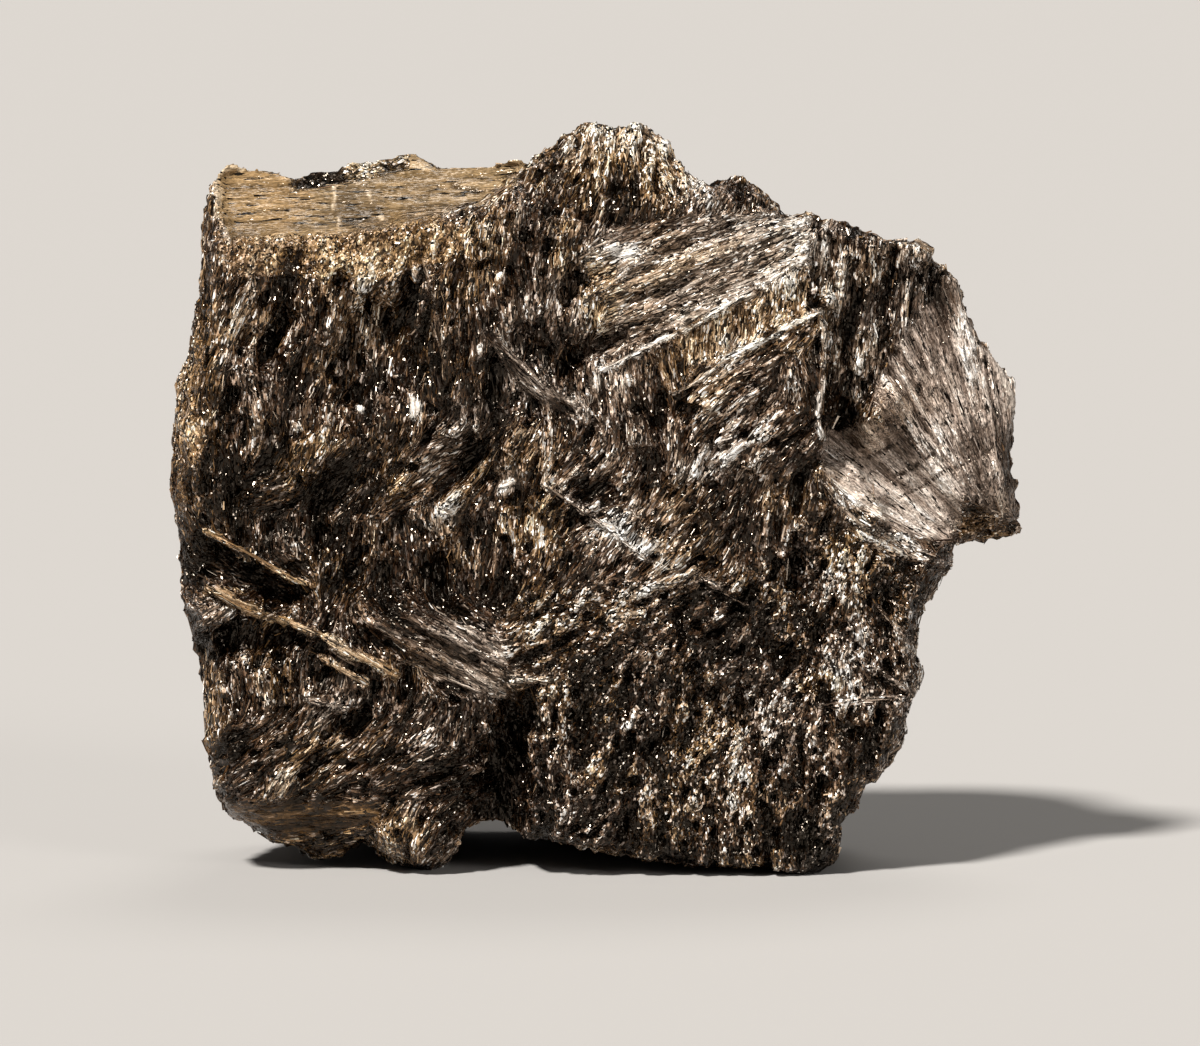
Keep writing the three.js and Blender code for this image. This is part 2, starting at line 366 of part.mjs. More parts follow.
// Height of a swell at a point, falling smoothly to nothing at its ellipse
const SWELL_POWER = 1.5;
function swellHeight(swell, x, v) {
  const turn = THREE.MathUtils.degToRad(swell.turn);
  const dx = x - swell.at[0];
  const dv = v - swell.at[1];
  const a = (dx * Math.cos(turn) + dv * Math.sin(turn)) / swell.axes[0];
  const b = (dv * Math.cos(turn) - dx * Math.sin(turn)) / swell.axes[1];
  return swell.height * Math.max(0, 1 - a * a - b * b) ** SWELL_POWER;
}

// Lays areas over a depth, each with its own plane and fibre bundles; outward is the way in
// which its bundles stand proud
function layered(start, areas, x, v, outward, seed) {
  return areas.reduce((depth, area, i) => {
    const share = smooth(0.5 + insideDistance(x, v, area.outline) / area.blend);
    if (share === 0) return depth;
    const raised = area.relief * bundles(x, v, area.grain, seed + i);
    return THREE.MathUtils.lerp(depth, planeDepth(area, x, v) + outward * raised, share);
  }, start);
}

// Depth of the front face away from its edge
const GROUND = { depth: 1.0, grain: 80, relief: 1.8 };
const FALL_RIGHT = { from: 36, slope: 0.9 };       // where the face falls away to the right
const FALL_TOP = { from: 80, slope: 0.8 };         // and to the top, between the areas
const TOWARDS_VIEWER = -1;
function faceDepth(x, v) {
  const fall = Math.max(0, x - FALL_RIGHT.from) * FALL_RIGHT.slope
    + Math.max(0, v - FALL_TOP.from) * FALL_TOP.slope;
  const ground = GROUND.depth + fall - GROUND.relief * bundles(x, v, GROUND.grain, SEEDS.ground);
  const depth = layered(ground, AREAS, x, v, TOWARDS_VIEWER, SEEDS.areas);
  return SWELLS.reduce((sum, swell) => sum - swellHeight(swell, x, v), depth);
}

// Depth of the back face: the nearest of its bounding faces, split and raised in places
const BACK_GROUND = { grain: 64, relief: 2.4 };
const AWAY = 1;
function backDepth(x, v) {
  const nearest = Math.min(...BACK_FACES.map((face) => planeDepth(face, x, v)));
  const raised = BACK_GROUND.relief * bundles(x, v, BACK_GROUND.grain, SEEDS.backGround);
  const depth = layered(nearest + raised, BACK_AREAS, x, v, AWAY, SEEDS.backAreas);
  return Math.min(depth, nearest + BACK_GROUND.relief);
}

// The edge as polar corners about the centre, clockwise turned into rising angle
function edgeCorners() {
  const corners = EDGE.flatMap(({ depth, band, points }) => points.map(([x, v], i) => {
    const t = i / (points.length - 1);
    return {
      x,
      v,
      angle: Math.atan2(v - CENTRE.v, x - CENTRE.x),
      radius: Math.hypot(x - CENTRE.x, v - CENTRE.v),
      depth: THREE.MathUtils.lerp(depth[0], depth[1], t),
      band: THREE.MathUtils.lerp(band[0], band[1], t),
    };
  }));
  return corners.sort((a, b) => a.angle - b.angle);
}
const CORNERS = edgeCorners();

// Where a ray from the centre meets the edge, with the edge's depth and band there
function edgeAt(angle) {
  const a = THREE.MathUtils.euclideanModulo(angle + Math.PI, FULL_TURN) - Math.PI;
  let next = CORNERS.findIndex((corner) => corner.angle > a);
  if (next < 0) next = 0;
  const q = CORNERS[next];
  const p = CORNERS[(next + CORNERS.length - 1) % CORNERS.length];
  const dirX = Math.cos(a);
  const dirV = Math.sin(a);
  const px = p.x - CENTRE.x;
  const pv = p.v - CENTRE.v;
  const ex = q.x - p.x;
  const ev = q.v - p.v;
  const across = dirX * ev - dirV * ex;
  const radius = (px * ev - pv * ex) / across;
  const t = THREE.MathUtils.clamp((px * dirV - pv * dirX) / across, 0, 1);
  return {
    radius,
    depth: THREE.MathUtils.lerp(p.depth, q.depth, t),
    band: THREE.MathUtils.lerp(p.band, q.band, t),
  };
}

// The edge's radius averaged over a span, which evens out the inner rings
const EVEN_SPAN = 0.3;
const EVEN_SAMPLES = 9;
function evenRadius(angle) {
  let sum = 0;
  for (let k = 0; k < EVEN_SAMPLES; k += 1) {
    sum += edgeAt(angle + EVEN_SPAN * (k / (EVEN_SAMPLES - 1) - 0.5)).radius;
  }
  return sum / EVEN_SAMPLES;
}

function drawAt(angle) {
  const c = Math.cos(angle);
  const s = Math.sin(angle);
  const sideways = c > 0 ? BACK_DRAW.right : BACK_DRAW.left;
  const upright = s > 0 ? BACK_DRAW.top : BACK_DRAW.bottom;
  return sideways * c * c + upright * s * s;
}

// A point at a share of the way to the edge, whose outline is drawn in by a factor
const EVEN_POWER = 4;
function spot(angle, share, draw) {
  const edge = edgeAt(angle);
  const even = evenRadius(angle);
  const radius = share * (even + (edge.radius - even) * share ** EVEN_POWER) * draw;
  return {
    angle,
    x: CENTRE.x + radius * Math.cos(angle),
    v: CENTRE.v + radius * Math.sin(angle),
    inset: (edge.radius - share * edge.radius),
    edge,
  };
}

// Evenly spread angles for a ring, each moved a little off its place
function ringAngles(count, seed) {
  return Array.from({ length: count }, (_, k) => {
    const shift = JITTER * (2 * hash(k, seed, SEEDS.pointAngle) - 1);
    return -Math.PI + (FULL_TURN * (k + 0.5 + shift)) / count;
  });
}

function ringShare(share, step, angleIndex, seed) {
  return share + step * JITTER * (2 * hash(angleIndex, seed, SEEDS.pointShare) - 1);
}

const MEAN_RADIUS = CORNERS.reduce((sum, corner) => sum + corner.radius, 0) / CORNERS.length;

// Rings of one face from the edge inwards, without the edge itself
function faceRings(step, bands, draw, depthAt, seed) {
  const rings = [];
  const add = (share, shareStep) => {
    const count = Math.max(LEAST_POINTS, Math.round((FULL_TURN * share * MEAN_RADIUS) / step));
    const ring = ringAngles(count, seed + rings.length).map((angle, k) => {
      const moved = ringShare(share, shareStep, k, seed + rings.length);
      const point = spot(angle, moved, draw(angle));
      return { ...point, depth: depthAt(point) };
    });
    rings.push(ring);
  };
  [...bands].reverse().forEach((share) => add(share, RIM_JITTER_STEP));
  const inner = bands.length ? bands[0] : 1;
  const shareStep = step / MEAN_RADIUS;
  const count = Math.floor(inner / shareStep - CENTRE_GAP);
  for (let k = 1; k <= count; k += 1) add(inner * (1 - k / (count + CENTRE_GAP)), shareStep);
  return rings;
}

// Front depth with the edge band rounded as a quarter ellipse
function frontDepthAt(point) {
  const inner = faceDepth(point.x, point.v);
  const t = THREE.MathUtils.clamp(point.inset / point.edge.band, 0, 1);
  const drop = 1 - Math.sqrt(1 - (1 - t) ** 2);
  return THREE.MathUtils.lerp(inner, Math.max(point.edge.depth, inner), drop);
}

const BACK_BAND = 7;               // width of the band that rounds the back edge
const BACK_ROUND = 6;              // how far the back edge lies in front of the back face
function backDepthAt(point) {
  const t = THREE.MathUtils.clamp(point.inset / BACK_BAND, 0, 1);
  return backDepth(point.x, point.v) - BACK_ROUND * (1 - Math.sqrt(1 - (1 - t) ** 2));
}

// The front edge itself, on its own corners
function edgeRing() {
  return CORNERS.map((corner) => ({ ...corner }));
}

// Rings from the front edge to the back edge, broken into ledges. Each ring only ever falls
// inside the edge, so that the edge is what shows from the front.
// Coarse breaks, and finer splits along the fibres: size along the edge, relief, and how far
// their pattern moves on from one ring to the next
const WALL_LEDGE = { width: 9, depth: 4.2, drift: 0.7 };
const WALL_SPLIT = { width: 3.4, depth: 1.6, drift: 0.35 };
const WALL_WANDER = 3.2;                           // how far a ring strays in depth
const WALL_CALM = 0.8;                             // how much less broken the underside is
const FIRST_RING_BREAK = 0.3;                      // how broken the ring next to the edge is
const DRAW_POWER = 1.2;                            // how late the rings draw in to the back edge
function wallRings() {
  const rings = [];
  for (let k = 1; k <= WALL_RINGS; k += 1) {
    const t = k / WALL_RINGS;
    const first = k === 1;
    const count = first ? CORNERS.length : Math.round((FULL_TURN * MEAN_RADIUS) / WALL_STEP);
    const angles = first ? CORNERS.map((corner) => corner.angle)
      : ringAngles(count, SEEDS.wallRings + k);
    rings.push(angles.map((angle) => {
      const around = angle * MEAN_RADIUS;
      const along = around / WALL_LEDGE.width;
      const ledge = WALL_LEDGE.depth * noise(along, k * WALL_LEDGE.drift, SEEDS.wallLedge);
      const split = WALL_SPLIT.depth
        * noise(around / WALL_SPLIT.width, k * WALL_SPLIT.drift, SEEDS.wallSplit);
      const downward = Math.max(0, -Math.sin(angle)) ** 2;
      const broken = (first ? FIRST_RING_BREAK : 1) * (1 - WALL_CALM * downward) * (ledge + split);
      const draw = THREE.MathUtils.lerp(1, drawAt(angle), t ** DRAW_POWER);
      const point = spot(angle, 1, draw * (1 - broken / edgeAt(angle).radius));
      const back = backDepthAt({ ...point, inset: 0 });
      const stray = k < WALL_RINGS ? noise(along, k, SEEDS.wallWander) - 0.5 : 0;
      const depth = THREE.MathUtils.lerp(point.edge.depth, back, t) + WALL_WANDER * stray;
      return { ...point, depth };
    }));
  }
  return rings;
}

// Picture plane to world: the face leans so that its own view is VIEW_TILT above level
function toWorld(x, v, depth) {
  const z = v / Math.cos(TILT) - (depth - FOOT_DEPTH) * Math.tan(TILT) - FOOT_WEAR;
  return new THREE.Vector3(x, depth, z);
}

// Triangles between two rings of any two counts, walked round by angle
function stitch(outer, inner, flip, faces) {
  const angleOf = (ring, k) => ring[k % ring.length].angle + FULL_TURN * Math.floor(k / ring.length);
  let i = 0;
  let j = 0;
  while (i < outer.length || j < inner.length) {
    const nextOuter = angleOf(outer, i + 1) + angleOf(outer, i);
    const nextInner = angleOf(inner, j + 1) + angleOf(inner, j);
    const a = outer[i % outer.length].index;
    const b = inner[j % inner.length].index;
    const takeOuter = j >= inner.length || (i < outer.length && nextOuter <= nextInner);
    const c = takeOuter ? outer[(i + 1) % outer.length].index : inner[(j + 1) % inner.length].index;
    if (takeOuter) i += 1;
    else j += 1;
    faces.push(flip ? [a, b, c] : [a, c, b]);
  }
}

function close(ring, centre, flip, faces) {
  ring.forEach((point, k) => {
    const next = ring[(k + 1) % ring.length].index;
    faces.push(flip ? [point.index, centre.index, next] : [point.index, next, centre.index]);
  });
}

// The whole block as one closed mesh: front rings, edge, wall rings, back rings
function blockGeometry() {
  const still = () => 1;
  const front = faceRings(FRONT_STEP, RIM_BANDS, still, frontDepthAt, SEEDS.frontRings);
  const wall = wallRings();
  const back = faceRings(BACK_STEP, BACK_RIM_BANDS, drawAt, backDepthAt, SEEDS.backRings);
  const frontCentre = { ...CENTRE, depth: faceDepth(CENTRE.x, CENTRE.v) };
  const backCentre = { ...CENTRE, depth: backDepth(CENTRE.x, CENTRE.v) };
  const rings = [...front.slice().reverse(), edgeRing(), ...wall, ...back];
  const points = [frontCentre, ...rings.flat(), backCentre];
  points.forEach((point, index) => Object.assign(point, { index }));
  const faces = [];
  close(rings[0], frontCentre, false, faces);
  for (let k = 0; k + 1 < rings.length; k += 1) stitch(rings[k], rings[k + 1], true, faces);
  close(rings[rings.length - 1], backCentre, true, faces);
  return geometryOf(points.map((point) => toWorld(point.x, point.v, point.depth)), faces);
}

function geometryOf(vectors, faces) {
  const geometry = new THREE.BufferGeometry();
  geometry.setAttribute('position', new THREE.Float32BufferAttribute(
    vectors.flatMap((vector) => vector.toArray()), 3));
  geometry.setIndex(faces.flat());
  return geometry;
}

// A flat crystal as a convex solid: foot, crest and buried root at three sections of its run
const BLADE_SECTIONS = [
  { t: 0, width: 0.45, height: 0.2 },
  { t: 0.4, width: 1, height: 1 },
  { t: 1, width: 0.5, height: 0.4 },
];
const BLADE_ROOT = 2.2;
const BLADE_FOOT = 0.2;            // height of its two long edges, as a share of its crest's
function bladeGeometry(blade, surface, outward) {
  const [ax, av] = blade.from;
  const [bx, bv] = blade.to;
  const length = Math.hypot(bx - ax, bv - av);
  const side = { x: (bv - av) / length, v: -(bx - ax) / length };
  const points = BLADE_SECTIONS.flatMap(({ t, width, height }) => {
    const x = THREE.MathUtils.lerp(ax, bx, t);
    const v = THREE.MathUtils.lerp(av, bv, t);
    const depth = surface(x, v);
    const half = blade.half * width;
    const crest = blade.crest * half;
    const at = (offset, rise) => toWorld(x + side.x * offset, v + side.v * offset,
      depth + outward * rise);
    return [
      at(-half, BLADE_FOOT * blade.proud * height),
      at(half, BLADE_FOOT * blade.proud * height),
      at(crest, blade.proud * height),
      at(0, -BLADE_ROOT),
    ];
  });
  return new ConvexGeometry(points);
}

// A ledge as a convex solid between its corners and its root
const ROOT_SPREAD = 0.12;
function ledgeGeometry(ledge) {
  const midX = ledge.corners.reduce((sum, corner) => sum + corner[0], 0) / ledge.corners.length;
  const midV = ledge.corners.reduce((sum, corner) => sum + corner[1], 0) / ledge.corners.length;
  const points = ledge.corners.flatMap(([x, v]) => [
    toWorld(x, v, planeDepth(ledge, x, v)),
    toWorld(x - ROOT_SPREAD * (x - midX), v - ROOT_SPREAD * (v - midV),
      planeDepth(ledge, x, v) + ledge.root),
  ]);
  return new ConvexGeometry(points);
}

// A lump as a faceted ellipsoid, a little uneven
const LUMP_DETAIL = 1;
const LUMP_UNEVEN = 0.16;
function lumpGeometry(lump, seed) {
  const sphere = mergeVertices(bare(new THREE.IcosahedronGeometry(1, LUMP_DETAIL)));
  const place = sphere.getAttribute('position');
  for (let k = 0; k < place.count; k += 1) {
    const grow = 1 + LUMP_UNEVEN * (hash(k, seed, SEEDS.lumpSize) - 0.5);
    const x = lump.at[0] + lump.axes[0] * grow * place.getX(k);
    const v = lump.at[1] + lump.axes[1] * grow * place.getZ(k);
    const depth = lump.depth + lump.axes[2] * grow * place.getY(k);
    const world = toWorld(x, v, depth);
    place.setXYZ(k, world.x, world.y, world.z);
  }
  return sphere;
}

function bare(geometry) {
  ['normal', 'uv'].forEach((name) => geometry.deleteAttribute(name));
  return geometry;
}

const wasm = await Module();
wasm.setup();

function toSolid(geometry) {
  const merged = mergeVertices(bare(geometry));
  return new wasm.Manifold(new wasm.Mesh({
    numProp: 3,
    vertProperties: new Float32Array(merged.getAttribute('position').array),
    triVerts: new Uint32Array(merged.getIndex().array),
  }));
}

function toGeometry(solid) {
  const mesh = solid.getMesh();
  const geometry = new THREE.BufferGeometry();
  geometry.setAttribute('position', new THREE.BufferAttribute(mesh.vertProperties, 3));
  geometry.setIndex(new THREE.BufferAttribute(mesh.triVerts, 1));
  return geometry;
}

// Fills the small pockets that get closed in where pieces grow together: only the outer skin,
// the largest set of triangles that hang together, is kept
function withoutPockets(geometry) {
  const index = Array.from(geometry.getIndex().array);
  const lead = Array.from({ length: geometry.getAttribute('position').count }, (_, k) => k);
  const leadOf = (k) => {
    let top = k;
    while (lead[top] !== top) {
      lead[top] = lead[lead[top]];
      top = lead[top];
    }
    return top;
  };
  for (let k = 0; k < index.length; k += 3) {
    lead[leadOf(index[k + 1])] = leadOf(index[k]);
    lead[leadOf(index[k + 2])] = leadOf(index[k]);
  }
  const sizes = new Map();
  index.forEach((k) => sizes.set(leadOf(k), (sizes.get(leadOf(k)) || 0) + 1));
  const [skin] = [...sizes.entries()].sort((a, b) => b[1] - a[1])[0];
  geometry.setIndex(index.filter((k) => leadOf(k) === skin));
  return geometry;
}

// The block with everything that stands proud of it, all one crystal mass
function grownSolid() {
  const grown = [
    ...BLADES.map((blade) => bladeGeometry(blade, faceDepth, TOWARDS_VIEWER)),
    ...BACK_BLADES.map((blade) => bladeGeometry(blade, backDepth, AWAY)),
    ...LEDGES.map(ledgeGeometry),
    ...LUMPS.map(lumpGeometry),
  ];
  return grown.reduce((solid, geometry) => solid.add(toSolid(geometry)), toSolid(blockGeometry()));
}

// Everything below the surface that the specimen stands on is taken off, which leaves flat feet
function standing(solid) {
  const below = new THREE.BoxGeometry(2 * WIDTH, 2 * WIDTH, WIDTH);
  below.translate(0, 0, -WIDTH / 2);
  return solid.subtract(toSolid(below));
}

function centred(geometry) {
  geometry.computeBoundingBox();
  const { min, max } = geometry.boundingBox;
  geometry.translate(-(min.x + max.x) / 2, -(min.y + max.y) / 2, 0);
  return geometry;
}

const material = new THREE.MeshStandardMaterial({
  color: COLOUR,
  roughness: ROUGHNESS,
  metalness: METALNESS,
  flatShading: true,
});
const skin = withoutPockets(toGeometry(standing(grownSolid())));
const mass = new THREE.Mesh(centred(skin), material);
mass.name = 'anthophyllite_mass';

const specimen = new THREE.Group();
specimen.add(mass);

export default specimen;
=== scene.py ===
import math
from types import SimpleNamespace

import bpy
import numpy as np
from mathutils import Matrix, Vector
from mathutils.bvhtree import BVHTree


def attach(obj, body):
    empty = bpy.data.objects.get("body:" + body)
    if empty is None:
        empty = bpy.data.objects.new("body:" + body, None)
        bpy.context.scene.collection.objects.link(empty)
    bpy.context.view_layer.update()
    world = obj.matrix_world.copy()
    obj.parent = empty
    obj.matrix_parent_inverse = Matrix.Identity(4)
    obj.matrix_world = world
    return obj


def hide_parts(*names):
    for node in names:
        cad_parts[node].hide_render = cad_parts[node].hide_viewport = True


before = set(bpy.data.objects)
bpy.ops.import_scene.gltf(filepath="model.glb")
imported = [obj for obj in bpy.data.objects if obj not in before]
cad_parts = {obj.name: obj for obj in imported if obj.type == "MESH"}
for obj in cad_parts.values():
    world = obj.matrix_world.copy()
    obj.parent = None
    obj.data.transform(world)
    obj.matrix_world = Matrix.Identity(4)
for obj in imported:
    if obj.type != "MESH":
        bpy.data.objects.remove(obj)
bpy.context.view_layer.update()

# An anthophyllite hand specimen: a broken block of fibrous crystals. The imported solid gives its
# form. Here it gets fibre bundles, splinters, its larger crystals and their colours.
#
# Lengths are in millimetres until a mesh is made. x runs to the right and v up the picture plane,
# as the front face is seen from VIEW_TILT above level. Angles are in degrees from +x.

MM = 0.001
MASS_NODE = "anthophyllite_mass"
RNG = np.random.default_rng(1831)

VIEW_TILT = math.radians(6)
FOOT_DEPTH = 3.0  # the solid's own measures, from its source
FOOT_WEAR = 0.45
MIDDLE_DEPTH = 21.129  # depth of the origin behind the picture plane
PICTURE_X = np.array([1.0, 0.0, 0.0])
PICTURE_V = np.array([0.0, math.sin(VIEW_TILT), math.cos(VIEW_TILT)])
PICTURE_AWAY = np.array([0.0, math.cos(VIEW_TILT), -math.sin(VIEW_TILT)])

# How the fibres run on the front face: x, v, angle
FLOW = {
    "upper left block": [(-41.5, 70.8, 70), (-37.9, 72, 75), (-33.1, 70, 85), (-30.7, 63, 82),
        (-38.5, 66, 62), (-26, 67, 78), (-22.5, 68.5, 64), (-20, 70, 78), (-19.5, 64, 82),
        (-42.7, 57.6, 84), (-35.5, 57.6, 80), (-30.7, 57.6, 80), (-25.9, 55.2, 85), (-22.3, 57, 88)],
    "left edge": [(-48.7, 66, 80), (-49.9, 57.6, 83), (-51.1, 48, 90), (-49.9, 43.2, 100),
        (-46, 72, 84), (-45.5, 50, 86)],
    "swirl": [(-13.9, 79, 58), (-15.5, 74, 62), (-16.3, 66, 76), (-9.1, 77, 78), (-7, 70, 88),
        (-9.1, 64, 98), (-6.7, 60, 104), (-4.3, 75, 88), (-3, 68, 92), (-4, 62, 104), (-12, 60, 88),
        (-14, 56, 80)],
    "peak": [(-4.3, 86.4, 60), (0.5, 87.6, 78), (5.3, 87, 84), (5.3, 81.6, 75), (9.5, 84, 112),
        (12.5, 80.5, 70), (17.3, 81.6, 64), (21.5, 80, 66), (0.5, 79.5, 72), (-6, 81, 62)],
    "bladed field": [(2.9, 75.6, 12), (12.5, 74.4, 21), (19.7, 76.8, 24), (5.3, 70.8, 30),
        (17.3, 72, 22), (5, 66.5, 28), (24.5, 77, 40)],
    "curtain": [(7.7, 64.8, 100), (12.5, 65, 96), (17.3, 66.5, 88), (22.1, 69.6, 86), (5.3, 62.4, 100),
        (0.5, 60, 112)],
    "middle": [(-0.7, 58.8, 116), (2.9, 57.6, 104), (5.3, 52.8, 85), (8.9, 60, 95), (-4.3, 52.8, 100),
        (0.5, 51.6, 80), (-11.5, 50, 80)],
    "right plate": [(12.5, 58.8, 32), (17.3, 61.2, 36), (22.1, 64.8, 32), (25, 60, 95),
        (19.7, 55.2, 62), (14.9, 51.6, 35), (22.1, 51.6, 50), (17.3, 48, 62), (11.3, 48, 70),
        (24.5, 50, 60)],
    "valley": [(29.3, 69.6, 85), (32.9, 69.6, 80), (35.3, 66, 85), (32.9, 60, 70), (30.5, 58, 62),
        (36.5, 73, 82), (40, 70.8, 100), (28.5, 76, 80)],
    "left middle": [(-18.7, 48, 45), (-13.9, 49.2, 45), (-11.5, 54, 50), (-16.3, 52.8, 38),
        (-9.1, 52.8, 45), (-23.5, 45.6, 30), (-30.7, 48, 30), (-39, 46.8, 20), (-35.5, 50.4, 60),
        (-25.5, 48.5, 65), (-40.3, 40.8, 90), (-35.5, 41, 85), (-23.5, 40.8, 100), (-21.1, 43.2, 110),
        (-13.9, 40.8, 90), (-18.7, 38.4, 95), (-11.5, 38.4, 90), (-6.7, 38.4, 85), (-30.7, 38.4, 80),
        (-37, 37.5, 152), (-45, 37, 152)],
    "under the needles": [(-42.7, 31.2, 45), (-40.3, 27.6, 60), (-45.1, 22.8, 85), (-42.7, 21.6, 80),
        (-37.5, 24, 88), (-29.5, 22.5, 78), (-24.7, 22.8, 95), (-32, 19, 62), (-35.5, 18, 60),
        (-44, 16.8, 30), (-46.5, 17, 88), (-45, 13.2, 30), (-40.3, 16.8, 40)],
    "lower left": [(-35.5, 13.2, 45), (-30.7, 14.4, 45), (-25.9, 16.8, 55), (-21.1, 18, 60),
        (-23.5, 13.2, 40), (-18.7, 13.2, 25), (-13.9, 12, 15), (-42.7, 10.8, 25), (-37.9, 10.8, 60),
        (-17.5, 18, 75), (-14, 19.2, 80)],
    "foot at the left": [(-43, 8.4, 3), (-36, 8, 3), (-29, 8, 4), (-36, 4.8, 8), (-31, 4.5, 10),
        (-21.9, 6, 70), (-18.5, 4.5, 50), (-25, 3, 100), (-11.5, 14, 95), (-10.5, 9, 90)],
    "feather": [(-24, 30, 148), (-18.7, 28.8, 150), (-13.9, 29, 148), (-16.3, 24, 150),
        (-11.5, 22.8, 130), (-9.1, 24.2, 22), (-9.1, 28.8, 30), (-4.3, 30, 40)],
    "centre ridge": [(-3, 50, 70), (3.5, 47, 60), (9, 43.5, 55), (0, 39.5, 62), (7.5, 34.5, 50)],
    "lower right block": [(-6.7, 21.6, 80), (-4.3, 20, 86), (0.5, 28.8, 45), (5.3, 31.2, 45),
        (10.1, 26.4, 60), (14.9, 28.8, 60), (19.7, 28.8, 70), (5.3, 21.6, 60), (-4.3, 12, 85),
        (0.5, 13.2, 60), (5.3, 14.4, 70), (12.5, 16.8, 62), (12.5, 9.6, 88), (17.3, 9.6, 90),
        (19.7, 19.2, 85), (22.1, 16.8, 85), (29.3, 16.8, 85), (34.1, 16.8, 75), (26.9, 9.6, 80),
        (22.1, 4.8, 88), (17.3, 4.8, 80), (7.7, 7.2, 85), (0.5, 6, 60), (29.3, 7.2, 70),
        (34.1, 31.2, 100), (36.5, 28.8, 96), (30.5, 27.6, 90), (31.7, 33.6, 80), (24.5, 33.6, 60),
        (17.3, 33.6, 45), (5.3, 36, 50), (-4.3, 36, 60), (0.5, 33.6, 50), (30.5, 38.4, 60),
        (22.1, 40.8, 70), (24.5, 45.6, 75), (29.3, 43.2, 60), (38, 22.8, 85), (38, 36, 70)],
    "rim ridge": [(28, 47, 125), (31, 43.5, 140), (35.5, 40.8, 155), (39.5, 40.2, 165)],
}

# Places with a habit of their own, later ones over earlier ones: part, habit, the fibres' angle,
# and outline. The angle is None where the flow above holds, and "fan" where they spread from
# FAN_PIVOT.
FAN_PIVOT = (52.4, 33.7)
FAN_MIDDLE = 18.0  # from the pivot to where the blades have their stated width
ZONES = [
    ("left edge", "granular", None, [(-54, 72), (-47.8, 70.5), (-46.9, 64), (-47.9, 58), (-47, 52),
        (-49, 47), (-49.6, 43), (-54, 41)]),
    ("band under the shelf", "granular", None, [(-46, 77), (-36, 77.4), (-20, 80), (-15, 78),
        (-17, 74.5), (-27, 72), (-44, 72.6)]),
    ("bladed field", "bladed", 22, [(-2, 74.4), (2, 78.4), (12.5, 80), (24.5, 80), (27, 75), (25.4, 74),
        (13, 68.2), (2, 62.8), (-1.6, 62.4), (1.5, 68.6)]),
    ("curtain", "curtain", None, [(0.5, 60.8), (12.5, 66.6), (24.5, 73.4), (26.4, 71.4), (26.6, 68.8),
        (15.5, 63), (9.5, 58.8), (2, 57)]),
    ("valley", "ribbed", 84, [(25.8, 79), (33, 78.6), (43, 75.6), (44.5, 71), (41, 67), (36, 62),
        (31, 57), (28.5, 60), (27.8, 68), (26, 74)]),
    ("lower right block", "sparkling", None, [(-9, 34), (2, 36), (14, 35), (26, 44), (38, 38), (42, 26),
        (34, 2), (24, -3), (-10, 2), (-8, 20)]),
    ("wedge", "feather", 136, [(-13.6, 65.6), (-12.4, 65.8), (-5.8, 59.4), (-1.4, 57), (-2.4, 55.4),
        (-8.6, 58.2)]),
    ("feather", "feather", 149, [(-26.5, 32), (-20, 32.4), (-11, 28.6), (-10.4, 21.6), (-15, 22),
        (-24, 28)]),
    ("upper fan", "fan", "fan", [(36, 64), (39.5, 68.6), (44.2, 74.2), (47, 74), (57, 62), (57, 42),
        (50, 43), (41.3, 48.2), (35.3, 54), (33, 58)]),
    ("lower fan", "sheet", "fan", [(27.4, 53.4), (33.6, 55.4), (44.3, 47.4), (43.8, 40.4), (37.1, 41.6),
        (30.6, 45.2), (27.4, 48.6)]),
    ("underside of the tip", "granular", 0, [(42.9, 43.6), (49.9, 44.3), (57, 42.6), (57, 36),
        (43.2, 37.4)]),
    ("ledge strip", "smooth", 3, [(-45.9, 9), (-27.2, 9.2), (-25.6, 6.6), (-35.5, 5.2), (-42.5, 5)]),
    ("shelf", "shelf", 4, [(-46.2, 86.4), (-44.2, 90), (-7.6, 90), (-8.2, 85.4), (-11.2, 82),
        (-19.9, 79.4), (-29.5, 77.6), (-43.8, 77), (-45.4, 80)]),
    ("back rim of the shelf", "speckled", None, [(-36.8, 82.9), (-33, 83.5), (-29.5, 83.9),
        (-24.7, 85.2), (-22.8, 85.8), (-22.8, 90), (-36.8, 90)]),
]
ZONES = [dict(zip(("part", "habit", "turn", "outline"), row)) for row in ZONES]

